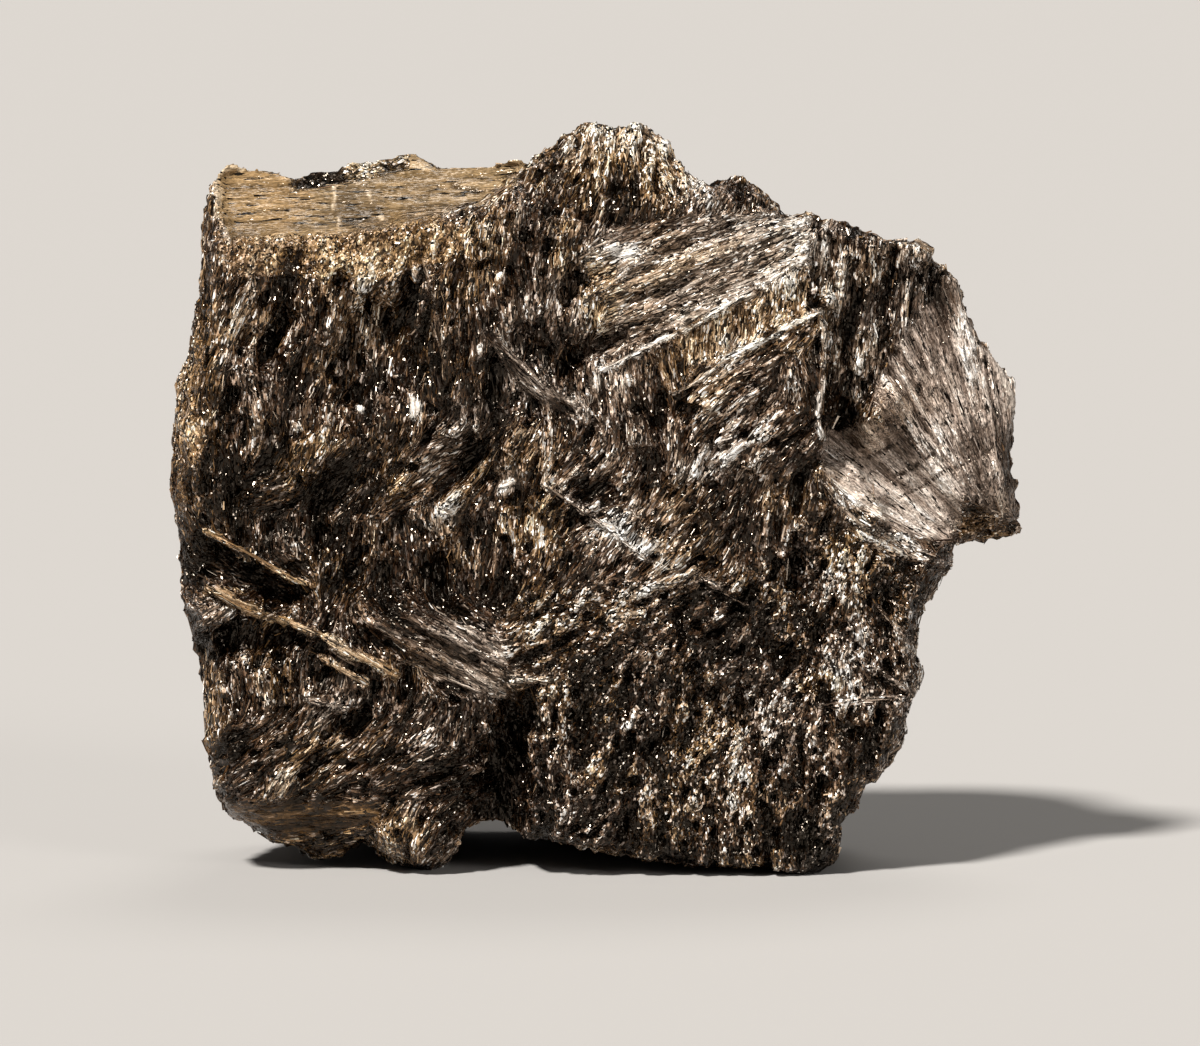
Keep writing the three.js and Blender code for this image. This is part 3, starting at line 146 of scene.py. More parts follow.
# Soft patches of brightness or tone: x, v, half axes, turn, strength from 0 to 1
PATCHES = {
    "cream": [(5.9, 89, 2.6, 2, 0, 1), (-2.9, 87.4, 1.6, 1.3, 0, 1), (0.5, 89.2, 1.8, 1.2, 0, 0.9),
        (-21.4, 86.4, 1.6, 0.7, -10, 0.8), (2.9, 75.2, 2.8, 0.9, 8, 0.8),
        (25.7, 77.4, 2.4, 2.8, 0, 0.55), (13.4, 60.6, 2.8, 1.2, 35, 0.8), (16.1, 64.2, 1.3, 1, 0, 0.9),
        (14.3, 50.7, 3.4, 1.7, 30, 0.8), (-10.6, 48, 1.9, 1.3, 0, 0.8), (-17.8, 44, 1.4, 1.2, 0, 1),
        (1.6, 42.7, 2.8, 1.3, -40, 1), (-3.1, 46.2, 3, 0.7, -36, 0.7), (6.2, 39.4, 3.4, 1, -36, 1),
        (12.4, 36, 3.4, 0.9, -33, 0.9), (38.4, 76.6, 3.6, 0.8, -18, 1),
        (-14.5, 29.4, 3.6, 1.1, -25, 0.7), (-14, 23.6, 3.4, 0.9, -30, 0.6),
        (-7.5, 24.6, 2.8, 0.6, 12, 0.9), (-30.1, 21, 1.8, 0.8, 20, 0.9), (-33.1, 19.2, 1.6, 1, 0, 0.6),
        (20.9, 21.6, 2.6, 4, 0, 0.3), (7.7, 34.2, 3, 1.8, 20, 0.4), (12.5, 9, 1.5, 2, 0, 0.4),
        (-24.4, 3, 1.4, 1.2, 0, 0.7), (12.7, 62.2, 1.4, 1, 30, 0.7), (-21.8, 56.6, 0.7, 2.2, 0, 1),
        (35.6, 40.3, 4, 1.3, -24, 0.8), (45.2, 68.5, 1.2, 4, -16, 0.8), (49.6, 60, 1.6, 3.6, -20, 0.6),
        (-8.4, 60.8, 5, 2, -42, 0.35), (-2.6, 57, 2.2, 1.2, -40, 0.8), (30.2, 44.6, 3.4, 0.9, -52, 0.8),
        (20.6, 10, 1.3, 1.1, 0, 0.4), (-20.6, 16, 2.4, 1.2, 60, 0.45),
        (-37.4, 11.6, 1.6, 1.2, 40, 0.7)],
    "ochre": [(2, 86.5, 8, 5, 0, 0.45), (-27.7, 75.2, 9, 2.4, 6, 0.85), (-39.6, 82, 5, 4.4, 0, 0.6),
        (-37.4, 82, 2.6, 3.4, -10, 1), (-41.5, 85.2, 3.6, 0.9, 0, 1), (-49, 58, 3, 16, 3, 0.5),
        (-37.9, 24.2, 1, 3, 0, 0.9), (1.1, 21.6, 1.8, 2.4, 0, 0.9), (26.9, 23.4, 2, 1.3, 0, 0.9),
        (11.3, 16.8, 2.2, 1.6, 0, 0.8), (1.7, 12.9, 2.4, 2.2, 0, 0.6), (17.3, 1.7, 3, 0.8, -6, 0.8),
        (-34.2, 4.2, 3, 1.4, 8, 0.8), (-31, 4, 8, 3.4, 4, 0.7), (-33, 7.4, 7, 1.2, 2, 0.9),
        (0.5, 70.4, 1.8, 3.4, 0, 0.8), (17, 66, 8, 2.4, 24, 0.35), (-35.5, 50.4, 3.4, 3, 0, 0.55),
        (-25.3, 47.4, 2, 1.6, 20, 0.7), (-33, 36.6, 3, 2.4, 0, 0.4), (-8, 43, 3, 2.6, 0, 0.45),
        (-14.5, 49.8, 1.2, 1.2, 0, 0.8), (29.6, 39.6, 2, 1.6, 40, 0.7), (-47, 17.5, 2, 7, 0, 0.55),
        (-4, 76, 1.6, 2.6, 0, 0.5), (8, 72.8, 8, 0.8, 24, 0.5), (-22, 79.2, 3.6, 1.2, 8, 0.7),
        (24.5, 46.4, 4, 2, 20, 0.3)],
    "pale": [(12.5, 64.4, 12, 3.2, 28, 0.5), (19, 57, 8, 8, 0, 0.65), (3, 56, 8, 6, 0, 0.45),
        (-13, 46, 10, 7, 20, 0.85), (3, 44, 10, 6, -36, 0.9), (-21, 4.5, 5, 4.5, 0, 0.6),
        (-36, 19, 9, 7, 0, 0.25), (33.5, 42.4, 6, 2.2, -35, 0.3), (3, 88, 8, 4, 0, 0.3),
        (-8, 68, 7, 12, 0, 0.6), (-33, 60, 10, 12, 0, 0.38), (7, 36, 10, 5, 0, 0.2),
        (32, 67, 6, 11, 0, 0.7), (17, 81, 6.5, 2.6, -18, 0.8), (29, 77.6, 6, 1.8, -22, 0.7),
        (10, 74, 14, 4, 20, 0.2), (-27, 75, 12, 3, 5, 0.2), (-16, 26.4, 6, 3, -30, 0.45)],
    "dim": [(35.5, 57.8, 2.2, 2.6, -50, 0.6), (-23.5, 29, 4, 2.6, -30, 0.9),
        (-28.6, 80.8, 2.4, 2.8, 0, 0.6), (-33, 45.5, 12, 4, 0, 0.5), (27, 12, 8, 9, 0, 0.3),
        (-47.5, 46.5, 3, 6, 0, 0.9), (-49, 60, 4, 14, 0, 0.4), (-44, 74, 2, 3, 0, 0.5),
        (-34, 4, 8, 3, 4, 0.35)],
    # Dark patches are hollows in the relief, painted dark as their shade
    "dark": [(-22.3, 66.4, 1.8, 4.6, -15, 0.8), (-38.5, 66, 1, 3.6, -28, 0.6),
        (-3.1, 71.5, 0.8, 2.4, -20, 0.8), (-0.5, 64, 3.4, 0.9, 22, 0.8),
        (-17, 48.5, 4.4, 1.1, 45, 0.85), (-29.5, 48.3, 4.4, 1.4, 28, 0.8),
        (-16.9, 34.5, 2.6, 3, 0, 0.6), (24.5, 34.8, 1.5, 4, 0, 0.7), (24.5, 25.2, 1.4, 1.9, 0, 0.95),
        (22.1, 27.6, 1.3, 0.8, 0, 0.9), (16.7, 21.6, 0.8, 2.4, 0, 0.8), (34.1, 16.8, 1.5, 2.6, 0, 0.7),
        (5.3, 50.4, 1.7, 1.5, 0, 0.8), (26.3, 72, 0.8, 3.8, 0, 0.8), (35.3, 68, 1, 6, 0, 0.6),
        (40, 71, 2.4, 3, 0, 0.3), (-10.5, 14, 2, 6, -8, 0.9), (-12.6, 8, 1.6, 1.4, 0, 1),
        (-30.7, 72, 0.8, 0.8, 0, 1), (-28.7, 37.2, 0.8, 0.8, 0, 1), (-29.9, 18.8, 2, 0.9, 10, 1),
        (-45.5, 39.6, 2.2, 1.2, -20, 0.9), (-41.5, 38, 1.8, 0.8, -25, 0.8), (-41, 29.6, 5, 1.6, 8, 0.8),
        (-26, 52, 2, 3, 0, 0.5), (-8, 74, 2.6, 4, 0, 0.5), (-38.6, 51, 1.4, 3.4, 0, 0.7),
        (-12, 62, 2.2, 4, 0, 0.35), (29, 56, 2, 3.6, 0, 0.5), (-24.5, 17, 4, 1.6, 45, 0.4),
        (-38, 43, 7, 1.2, -20, 0.5)],
    "grey": [(14, 73, 11, 3.4, 22, 0.7), (-28.6, 80.8, 2.4, 2.8, 0, 1), (-15.5, 26.4, 5, 3.6, -30, 0.6),
        (-14, 55, 3, 3, 0, 0.5), (-8.6, 60.6, 4, 2.4, -45, 0.8), (-19, 82, 5, 2, 0, 0.6),
        (27, 4, 2.4, 3.4, 0, 0.6), (11, 43, 4, 2.4, 0, 0.3), (-43.4, 7.8, 3, 1.2, 0, 0.8),
        (-7, 19.4, 2.4, 1.2, 20, 0.6)],
}

# Crystals and cracks that the photo shows one by one, as paths over the front face
STROKES = {
    "needle": [[(-46.9, 41.8), (-42.7, 39.6), (-34.9, 35.4)], [(-38.4, 31.6), (-32.4, 29.4)],
        [(-34.3, 27.2), (-27.5, 23.6)]],
    "slab": [[(-46.6, 35.2), (-42.1, 32.9), (-37.6, 30.9)], [(-32.2, 29.2), (-28.6, 27), (-24.1, 24.4)],
        [(33.5, 77.9), (37.5, 77), (41, 75.4)]],
    "rim": [[(-43, 86), (-45.2, 85.8), (-46, 84.5), (-45.6, 80.4), (-44.2, 76.6)],
        [(43.7, 73.4), (44.6, 70), (45.8, 66)], [(46.6, 64), (49.2, 61.2), (50.6, 57)]],
    "pale line": [[(-6.1, 47.4), (0.5, 42.6), (6.5, 38.4)], [(13, 35.8), (17.9, 33)],
        [(-34.4, 21.8), (-30, 20.4)], [(-33.2, 19.2), (-30.6, 21.8)],
        [(27.1, 48), (28.7, 45.6), (31.7, 42.6), (38.9, 40.2)], [(34.1, 32.4), (38.3, 27.6)],
        [(32.9, 25.8), (38.3, 22.2)], [(26.9, 21), (36.5, 22)],
        [(-20.5, 74.4), (-18.7, 67), (-18.1, 60)], [(-10.3, 24.6), (-4.9, 24)]],
    "blade": [[(2.5, 70.3), (11, 74.2), (21.2, 78)], [(9.6, 70.3), (19.1, 75.8)],
        [(3.7, 71), (9.8, 73.4)], [(-1.3, 69.6), (5.3, 74.2)], [(11.3, 74.6), (20.3, 77.3)],
        [(2.9, 70.8), (13, 76), (24.5, 79.8)], [(12.5, 69.6), (24.5, 74.2)], [(14.4, 68.9), (24.8, 74)],
        [(7.7, 66), (15.1, 68.9)], [(-26.5, 30.6), (-18, 26.8), (-10.9, 22.2)],
        [(-21.1, 28.8), (-10.9, 22.6)], [(-19.9, 30.2), (-10.6, 25.8)], [(-23.5, 26.4), (-12.7, 22)]],
    "ledge": [[(9.5, 58.2), (15.5, 62.4), (26.9, 68.2), (27.4, 65.4), (26.6, 55.2), (27.1, 52.8)],
        [(0.5, 61.2), (12.5, 67), (24.5, 73.8)]],
    "crack": [[(11.3, 45.6), (16.1, 40.8)], [(32.9, 50.4), (37.1, 52.8)],
        [(35, 47.8), (37.2, 49), (40.4, 50.8)], [(36.5, 45.6), (42.5, 49.2), (49.7, 52.2)],
        [(46.1, 49.4), (46.1, 45.4)], [(-18.7, 83.4), (-12.7, 82.8)]],
    "pale crack": [[(-32, 83.6), (-31.4, 82), (-31.7, 80.8), (-30.7, 79.4), (-30.8, 77.6)],
        [(-27.7, 82.8), (-26.9, 81.4), (-26.5, 80.4), (-25.3, 79)]],
    "column": [[(29.8, 77.4), (29.9, 68)], [(32.6, 76.8), (32.1, 66)], [(37.1, 74.2), (36.9, 66.2)],
        [(19.7, 21.6), (18.7, 2.4)], [(22.7, 19.2), (22.1, 3.6)], [(25.9, 19.2), (25.2, 2.4)],
        [(29, 20.4), (28.1, 6)], [(32.6, 19.8), (30.5, 9.6)], [(35.9, 21.6), (34.1, 14.4)]],
    "flake": [[(-21.9, 58), (-21.8, 55.4)], [(-21.6, 57.6), (-21.5, 55.8)],
        [(-11.8, 72.4), (-11.9, 71.2)], [(-26.9, 73.5), (-26.8, 72.6)], [(-21.8, 73.2), (-21.5, 72.1)],
        [(-19.6, 76.2), (-19.4, 75.2)], [(-13.9, 63.9), (-13.8, 62.9)], [(-36.3, 54.9), (-35.8, 54.3)],
        [(-28.2, 57), (-28, 56.3)], [(-18.6, 44), (-17.2, 44.2)], [(-11.5, 47.2), (-10, 47.8)],
        [(2.6, 75), (4.9, 75.5)], [(0.8, 42.9), (2.4, 42)]],
}

# What a stroke does, by STROKE_KEYS: the rise of its crest and its half width in mm, its
# brightness, how much of the face's own look it hides, its tone, and the slender crystals on it:
# their number, width and length as a share of the path
STROKE_KINDS = {
    "needle": (0.5, 0.22, 1.5, 0.75, "ochre", 9, 0.22, (0.2, 0.6)),
    "slab": (0.7, 0.5, 1.5, 0.8, "ochre", 16, 0.26, (0.15, 0.6)),
    "rim": (0.2, 0.25, 1.8, 0.8, "grey", 0),
    "pale line": (0.4, 0.2, 1.4, 0.5, "grey", 5, 0.18, (0.1, 0.3)),
    "blade": (0.25, 0.2, 1.3, 0.4, "grey", 5, 0.2, (0.1, 0.4)),
    "ledge": (0.3, 0.18, 2.3, 0.95, "grey", 10, 0.2, (0.03, 0.14)),
    # A crack's dark brightness is painted shade in its groove.
    "crack": (-0.3, -0.05, -1.4, 0.9, None, 0),
    "pale crack": (0.08, 0, 1.9, 0.9, "grey", 0),
    "column": (0.3, 0.15, 0.9, 0.4, None, 0),
    "flake": (0.2, 0.15, 3, 1, "grey", 8, 0.45, (0.5, 1)),
}
STROKE_KEYS = ("rise", "half", "bright", "hides", "tone", "laths", "width", "share")
STROKE_KINDS = {kind: dict(zip(STROKE_KEYS, row)) for kind, row in STROKE_KINDS.items()}
STROKE_EDGE = 0.3  # width over which a stroke fades
STROKE_WAVER, STROKE_WAVE = 0.14, 0.9  # how far it strays, and over what length
STROKE_RAGGED, STROKE_RAG = 0.16, 0.35  # how ragged its edges are, and at what size

# How each habit looks, by HABIT_KEYS. relief is the depth in mm of its bundles, strands, grains,
# lines and pits. bright is its mean brightness and contrast, speckle how grainy it is, lined how
# strong its fine lines are, drawn how far its grains are drawn out, and blades the width, length,
# height and contrast of its blades. A splinter's length and width run from the smallest to the
# largest, its height is a share of its width, spread, roll and lift are in degrees, and density
# is the number of splinters against that of the fibrous habit.
HABITS = {
    "fibrous": ((0.28, 0.2, 0.2, 0, 0.7), (-0.3, 1.3), 1, 0.4, 1.25, None, (0.4, 1.7), (0.09, 0.22),
        0.8, 13, 42, 4, 1),
    "sparkling": ((0.26, 0.16, 0.26, 0, 0.8), (-0.45, 1.75), 1.15, 0.1, 0.75, None, (0.25, 0.8),
        (0.12, 0.26), 0.9, 34, 60, 10, 1.2),
    "granular": ((0.16, 0.12, 0.22, 0, 0.3), (0.55, 1.1), 0.65, 0.1, 0.5, None, (0.25, 0.7),
        (0.12, 0.28), 0.8, 40, 50, 10, 1.4),
    "speckled": ((0.2, 0.16, 0.22, 0, 0.5), (-0.1, 1.9), 1, 0.1, 0.5, None, (0.25, 0.7), (0.12, 0.28),
        0.8, 40, 50, 6, 1),
    "bladed": ((0.12, 0.16, 0.16, 0.04, 0.25), (0.75, 0.6), 0.75, 0.8, 1.25, (0.7, 3, 0.22, 0.12),
        (0.4, 1.5), (0.1, 0.24), 0.6, 10, 30, 4, 1.1),
    "curtain": ((0.14, 0.18, 0.2, 0, 0.25), (0.35, 1.2), 0.85, 0.6, 1.25, None, (0.4, 1.4), (0.1, 0.24),
        0.8, 10, 40, 5, 1.1),
    "ribbed": ((0.14, 0.2, 0.2, 0, 0.4), (0.3, 1.5), 0.95, 0.8, 1.25, (1.1, 9, 0.6, 1), (0.4, 1.6),
        (0.1, 0.24), 0.8, 10, 36, 5, 1.1),
    "feather": ((0.1, 0.16, 0.1, 0.1, 0.3), (-0.2, 1.2), 0.6, 0.7, 1.25, (0.7, 5, 0.3, 0.5), (0.5, 1.8),
        (0.1, 0.2), 0.5, 6, 24, 2, 0.9),
    "fan": ((0.06, 0.1, 0.08, 0.12, 0.2), (0.8, 1.4), 0.3, 1, 1.375, (0.6, 5, 0.3, 0.5), (0.8, 3),
        (0.1, 0.3), 0.35, 3, 18, 2, 0.7),
    "sheet": ((0.03, 0.05, 0.03, 0.08, 0.1), (1.15, 1), 0.12, 0.7, 1.375, (0.8, 8, 0.16, 0.45),
        (1, 3.4), (0.1, 0.3), 0.25, 2, 10, 1, 0.5),
    "smooth": ((0.12, 0.1, 0.06, 0.1, 0.2), (-0.35, 0.8), 0.3, 0.5, 1.25, (0.8, 6, 0.16, 0.4),
        (0.8, 2.6), (0.1, 0.3), 0.3, 4, 12, 2, 0.5),
    "shelf": ((0.03, 0.04, 0.02, 0.04, 0.04), (0.2, 0.4), 0.12, 0.4, 1.375, (0.8, 12, 0.06, 0.1),
        (1, 3), (0.08, 0.18), 0.12, 2, 6, 0.2, 0.3),
}
HABIT_KEYS = ("relief", "bright", "speckle", "lined", "drawn", "blades", "length", "width", "height",
              "spread", "roll", "lift", "density")
HABITS = {name: dict(zip(HABIT_KEYS, row)) for name, row in HABITS.items()}
HABIT_NAMES = list(HABITS)
HABIT_TONES = {"fan": {"fan": 2.0}, "sheet": {"fan": 2.0}, "smooth": {"ochre": 1.4},
               "shelf": {"shelf": 3.0}, "bladed": {"grey": 0.5}, "feather": {"grey": 0.4},
               "ribbed": {"grey": 0.6}, "granular": {"ochre": 0.35}, "speckled": {"grey": 0.4}}

# Colours from a crevice to a glint, as screen values from 0 to 255, at these brightnesses. Their dark
# end also carries painted shade in crevices and pits, and their pale end painted glints.
RAMP_STOPS = (-1.8, -0.8, 0.1, 0.9, 1.8, 2.8)
RAMPS = {
    "brown": [(9, 3, 0), (30, 15, 5), (64, 43, 26), (117, 92, 70), (176, 157, 138),
              (245, 238, 229)],
    "ochre": [(10, 5, 1), (36, 22, 9), (88, 63, 33), (146, 113, 72), (202, 170, 124),
              (246, 230, 198)],
    "grey": [(9, 7, 5), (31, 25, 20), (78, 68, 60), (134, 122, 112), (190, 179, 168),
             (250, 244, 236)],
    "fan": [(20, 14, 10), (54, 43, 35), (108, 94, 84), (156, 142, 132), (204, 191, 180),
            (248, 242, 236)],
    "shelf": [(34, 23, 12), (76, 59, 36), (118, 97, 66), (160, 135, 98), (204, 183, 148),
              (246, 235, 214)],
}
TONES = list(RAMPS)


def smooth(t):
    c = np.clip(t, 0.0, 1.0)
    return c * c * (3 - 2 * c)


def blended(old, new, share):
    return old * (1 - share) + new * share


def unit(vectors):
    return vectors / np.maximum(np.linalg.norm(vectors, axis=-1, keepdims=True), 1e-9)


def picture_v(points):
    """Height up the picture plane of points in the part's frame."""
    depth = points[:, 1] + MIDDLE_DEPTH
    level = points[:, 2] + FOOT_WEAR + (depth - FOOT_DEPTH) * math.tan(VIEW_TILT)
    return level * math.cos(VIEW_TILT)


def segments_distance(x, v, places):
    """Distance from points to an open path."""
    nearest = np.full(np.shape(x), np.inf)
    for (ax, av), (bx, bv) in zip(places, places[1:]):
        run = (bx - ax) ** 2 + (bv - av) ** 2
        t = np.clip(((x - ax) * (bx - ax) + (v - av) * (bv - av)) / run, 0, 1)
        nearest = np.minimum(nearest, np.hypot(x - ax - t * (bx - ax), v - av - t * (bv - av)))
    return nearest


def inside_distance(x, v, outline):
    """Distance from points to a closed outline, above 0 inside it."""
    inside = np.zeros(np.shape(x), bool)
    for (ax, av), (bx, bv) in zip(outline, outline[1:] + outline[:1]):
        if av != bv:
            inside ^= ((av > v) != (bv > v)) & (x < ax + (v - av) / (bv - av) * (bx - ax))
    nearest = segments_distance(x, v, outline + outline[:1])
    return np.where(inside, nearest, -nearest)


LATTICE_SIZE = 64
LATTICE = RNG.random((LATTICE_SIZE,) * 3)


def lattice_noise(places, shift):
    """Smooth noise from 0 to 1 at points that are given in lattice steps."""
    low = np.floor(places).astype(int)
    share = smooth(places - low)
    total = np.zeros(len(places))
    for corner in np.ndindex(2, 2, 2):
        weight = np.prod([share[:, k] if corner[k] else 1 - share[:, k] for k in range(3)], axis=0)
        i, j, k = ((low + corner + shift) % LATTICE_SIZE).T
        total += weight * LATTICE[i, j, k]
    return total


# Maps of the front face, on a grid of v rows and x columns

MAP_LOW = (-54.0, -3.0)
MAP_HIGH = (56.0, 94.0)
MAP_STEP = 0.2
FLOW_STEP = 0.8


def map_axes(step):
    xs = np.arange(MAP_LOW[0], MAP_HIGH[0], step)
    vs = np.arange(MAP_LOW[1], MAP_HIGH[1], step)
    return np.meshgrid(xs, vs)


def sampled(grid, x, v, step=MAP_STEP):
    """Bilinear value of a grid at points, held at the grid's border."""
    rows, columns = grid.shape
    j = np.clip((x - MAP_LOW[0]) / step, 0, columns - 1.001)
    i = np.clip((v - MAP_LOW[1]) / step, 0, rows - 1.001)
    i0, j0 = i.astype(int), j.astype(int)
    fi, fj = i - i0, j - j0
    low = blended(grid[i0, j0], grid[i0, j0 + 1], fj)
    high = blended(grid[i0 + 1, j0], grid[i0 + 1, j0 + 1], fj)
    return blended(low, high, fi)


def blurred(grid, width):
    """Gaussian blur by a width in grid steps."""
    rows = np.fft.fftfreq(grid.shape[0])[:, None]
    columns = np.fft.rfftfreq(grid.shape[1])[None, :]
    fade = np.exp(-2 * (math.pi * width) ** 2 * (rows ** 2 + columns ** 2))
    return np.fft.irfft2(np.fft.rfft2(grid) * fade, s=grid.shape)


FLOW_REACH = 1.6  # within this, a sample of the flow rules alone
FLOW_FALL = 2.5  # how fast a sample's say falls off
FLOW_WAVER = 9.0  # degrees that the flow strays by itself
FLOW_WAVE = 3.5  # size of those waves
ZONE_EDGE = 0.8  # width over which a zone begins
MAP_X, MAP_V = map_axes(MAP_STEP)
ZONE_SHARES = [smooth(0.5 + inside_distance(MAP_X, MAP_V, zone["outline"]) / ZONE_EDGE)
               for zone in ZONES]
FAN_TURN = np.arctan2(MAP_V - FAN_PIVOT[1], MAP_X - FAN_PIVOT[0])


def along_across(degrees, x=0, v=0):
    """The map's places along and across a direction, from a point."""
    run, rise = math.cos(math.radians(degrees)), math.sin(math.radians(degrees))
    return ((MAP_X - x) * run + (MAP_V - v) * rise, (MAP_V - v) * run - (MAP_X - x) * rise)


def white_grain(width):
    return blurred(RNG.standard_normal(MAP_X.shape), width / MAP_STEP)


def even(grid):
    return (grid - grid.mean()) / grid.std()


def double_angle(degrees):
    turn = 2 * np.radians(degrees)
    return np.cos(turn), np.sin(turn)


def stroke_field(kind, x, v, ragged):
    """A kind of stroke's cover of the map and its crown, from 0 to 1, and the nearest one's way."""
    nearest, turn = np.full(x.shape, np.inf), np.zeros(x.shape)
    for start, end in (pair for path in STROKES[kind] for pair in zip(path, path[1:])):
        distance = segments_distance(x, v, [start, end])
        way = math.degrees(math.atan2(end[1] - start[1], end[0] - start[0]))
        turn = np.where(distance < nearest, way, turn)
        nearest = np.minimum(nearest, distance)
    reach = STROKE_KINDS[kind]["half"] + STROKE_EDGE
    return SimpleNamespace(share=smooth((reach + ragged - nearest) / STROKE_EDGE),
                           crown=np.maximum(0, 1 - nearest / reach), turn=turn)


def stroke_fields():
    x = MAP_X + STROKE_WAVER * even(white_grain(STROKE_WAVE))
    v = MAP_V + STROKE_WAVER * even(white_grain(STROKE_WAVE))
    ragged = STROKE_RAGGED * even(white_grain(STROKE_RAG))
    return {kind: stroke_field(kind, x, v, ragged) for kind in STROKES}


STROKE_FIELDS = stroke_fields()


def towards(field, degrees, share):
    """A double-angle field turned to another angle by a share."""
    return [blended(old, new, share) for old, new in zip(field, double_angle(degrees))]


def flow_map():
    """Double-angle cosine and sine of the fibres' direction over the front face."""
    x, v = map_axes(FLOW_STEP)
    total = np.zeros(x.shape)
    cosine, sine = np.zeros(x.shape), np.zeros(x.shape)
    for px, pv, degrees in (sample for part in FLOW.values() for sample in part):
        weight = 1 / ((x - px) ** 2 + (v - pv) ** 2 + FLOW_REACH ** 2) ** FLOW_FALL
        c, s = double_angle(degrees)
        cosine, sine, total = cosine + weight * c, sine + weight * s, total + weight
    angle = np.arctan2(sampled(sine / total, MAP_X, MAP_V, FLOW_STEP),
                       sampled(cosine / total, MAP_X, MAP_V, FLOW_STEP))
    angle = angle + 2 * math.radians(FLOW_WAVER) * even(white_grain(FLOW_WAVE))
    field = (np.cos(angle), np.sin(angle))
    for zone, share in zip(ZONES, ZONE_SHARES):
        degrees = zone["turn"]
        if degrees == "fan":
            degrees = np.degrees(FAN_TURN)
        if degrees is not None:
            field = towards(field, degrees, share)
    for kind, stroke in STROKE_FIELDS.items():
        if STROKE_KINDS[kind]["laths"]:
            field = towards(field, stroke.turn, stroke.share)
    return field


def drawn_out(grain, reach):
    """A grain drawn out along the flow both ways, with unit spread."""
    angle = np.arctan2(FLOW_SIN, FLOW_COS) / 2
    run, rise = np.cos(angle), np.sin(angle)
    rows, columns = np.indices(grain.shape).astype(float)
    total, steps = grain.copy(), int(reach / MAP_STEP)
    for sense in (1, -1):
        i, j = rows.copy(), columns.copy()
        di, dj = sense * rise, sense * run
        for k in range(steps):
            i, j = i + di, j + dj
            ii = np.clip(np.rint(i), 0, grain.shape[0] - 1).astype(int)
            jj = np.clip(np.rint(j), 0, grain.shape[1] - 1).astype(int)
            total += (1 - k / steps) * grain[ii, jj]
            keep = np.where(rise[ii, jj] * di + run[ii, jj] * dj < 0, -1.0, 1.0)
            di, dj = rise[ii, jj] * keep, run[ii, jj] * keep
    return even(total)


FLOW_COS, FLOW_SIN = flow_map()

# Patterns of the fibres: the size of their grain, and how far it is drawn out
BUNDLES = drawn_out(white_grain(0.7), 6.0)
STRANDS = drawn_out(white_grain(0.32), 2.4)
GRAINS = drawn_out(white_grain(0.18), 0.6)
LINES = drawn_out(white_grain(0.2), 9.0)
PITS = drawn_out(white_grain(0.42), 0.9)
CLUSTERS = drawn_out(white_grain(1.6), 3.0)
WARMTH = even(white_grain(2.6))


PATCH_EDGE = 1.7  # how far out a patch fades to nothing, in its half axes
BLADE_STRAY = 0.3  # how far the blades stray, in blades
BLADE_SWELLS = ((0.2, 1.9), (0.12, 4.3))  # size and rate of the swings in their width
LEAST_STRETCH = 0.4  # the shortest blade, as a share of the stated length
BLADE_GAP = 0.25  # share of a blade's half width that the gap beside it takes
BLADE_LEVEL, BLADE_CROWN = 0.6, 0.4  # shares of its level and crown in its height
BLADE_GAP_PAINTED_SHADE = 0.9  # how dark the gap is, as painted shade between the blades


def patch_share(tone):
    """How strongly the patches of a tone cover the map, from 0 to 1."""
    total = np.zeros(MAP_X.shape)
    for px, pv, a, b, turn, strength in PATCHES[tone]:
        along, across = along_across(turn, px, pv)
        total = np.maximum(total, strength * smooth(PATCH_EDGE - np.hypot(along / a, across / b)))
    return total


def zoned(key, index):
    """A value of the habits over the map."""
    value = np.full(MAP_X.shape, float(np.ravel(HABITS["fibrous"][key])[index]))
    for zone, share in zip(ZONES, ZONE_SHARES):
        value = blended(value, np.ravel(HABITS[zone["habit"]][key])[index], share)
    return value


BLADE_TABLE = RNG.random((61, 67))  # a level for each stretch of each blade


def blade_cells(zone):
    """Blades over the map: the level of each stretch of a blade from -1 to 1, and its crown."""
    width, length = HABITS[zone["habit"]]["blades"][:2]
    if zone["turn"] == "fan":
        along = np.hypot(MAP_X - FAN_PIVOT[0], MAP_V - FAN_PIVOT[1])
        across = FAN_TURN * FAN_MIDDLE
    else:
        along, across = along_across(zone["turn"])
    step = across / width + BLADE_STRAY * WARMTH
    (wide, slow), (small, quick) = BLADE_SWELLS
    step = step + wide * np.sin(slow * step) + small * np.sin(quick * step)
    number = np.floor(step).astype(int)
    rows, columns = BLADE_TABLE.shape
    row = number % rows
    stretch = length * (LEAST_STRETCH + BLADE_TABLE[row, 0])
    place = np.floor(along / stretch + BLADE_TABLE[row, 1]).astype(int)
    level = BLADE_TABLE[row, place % columns] * 2 - 1
    return level, 1 - np.abs(2 * (step - number) - 1)


PATCH_DEPTH = 1.1  # of a dark patch, which is a hollow also painted with its shade
# The dark patches' brightness is painted shade in their hollows
PATCH_BRIGHT = {"dark": -1.5, "cream": 1.2, "pale": 0.9, "ochre": 0.3, "grey": 0.2, "dim": -0.8}
STROKE_LINES, STROKE_LINED = 0.35, 0.5  # how much the fine lines show on a stroke
STROKE_SMOOTH, STROKE_TONE = 0.5, 1.2  # how smooth it is, and the weight of its tone
BUNDLE_SHADE, STRAND_SHADE, GRAIN_SHADE = 0.3, 0.35, 0.5  # share of each in the brightness, as painted highlight where the relief stands up
FRONT_PIT_PAINTED_SHADE, SIDE_PIT_PAINTED_SHADE = 1.3, 1.0  # and of the painted shade in the pits
LINE_SHADE, CLUSTER_SHADE, BROAD_SHADE = 0.6, 0.28, 0.3  # of the lines and the wide waves
CREVICE_FROM, CREVICE_POWER = 0.8, 1.3  # where a crevice opens between two bundles
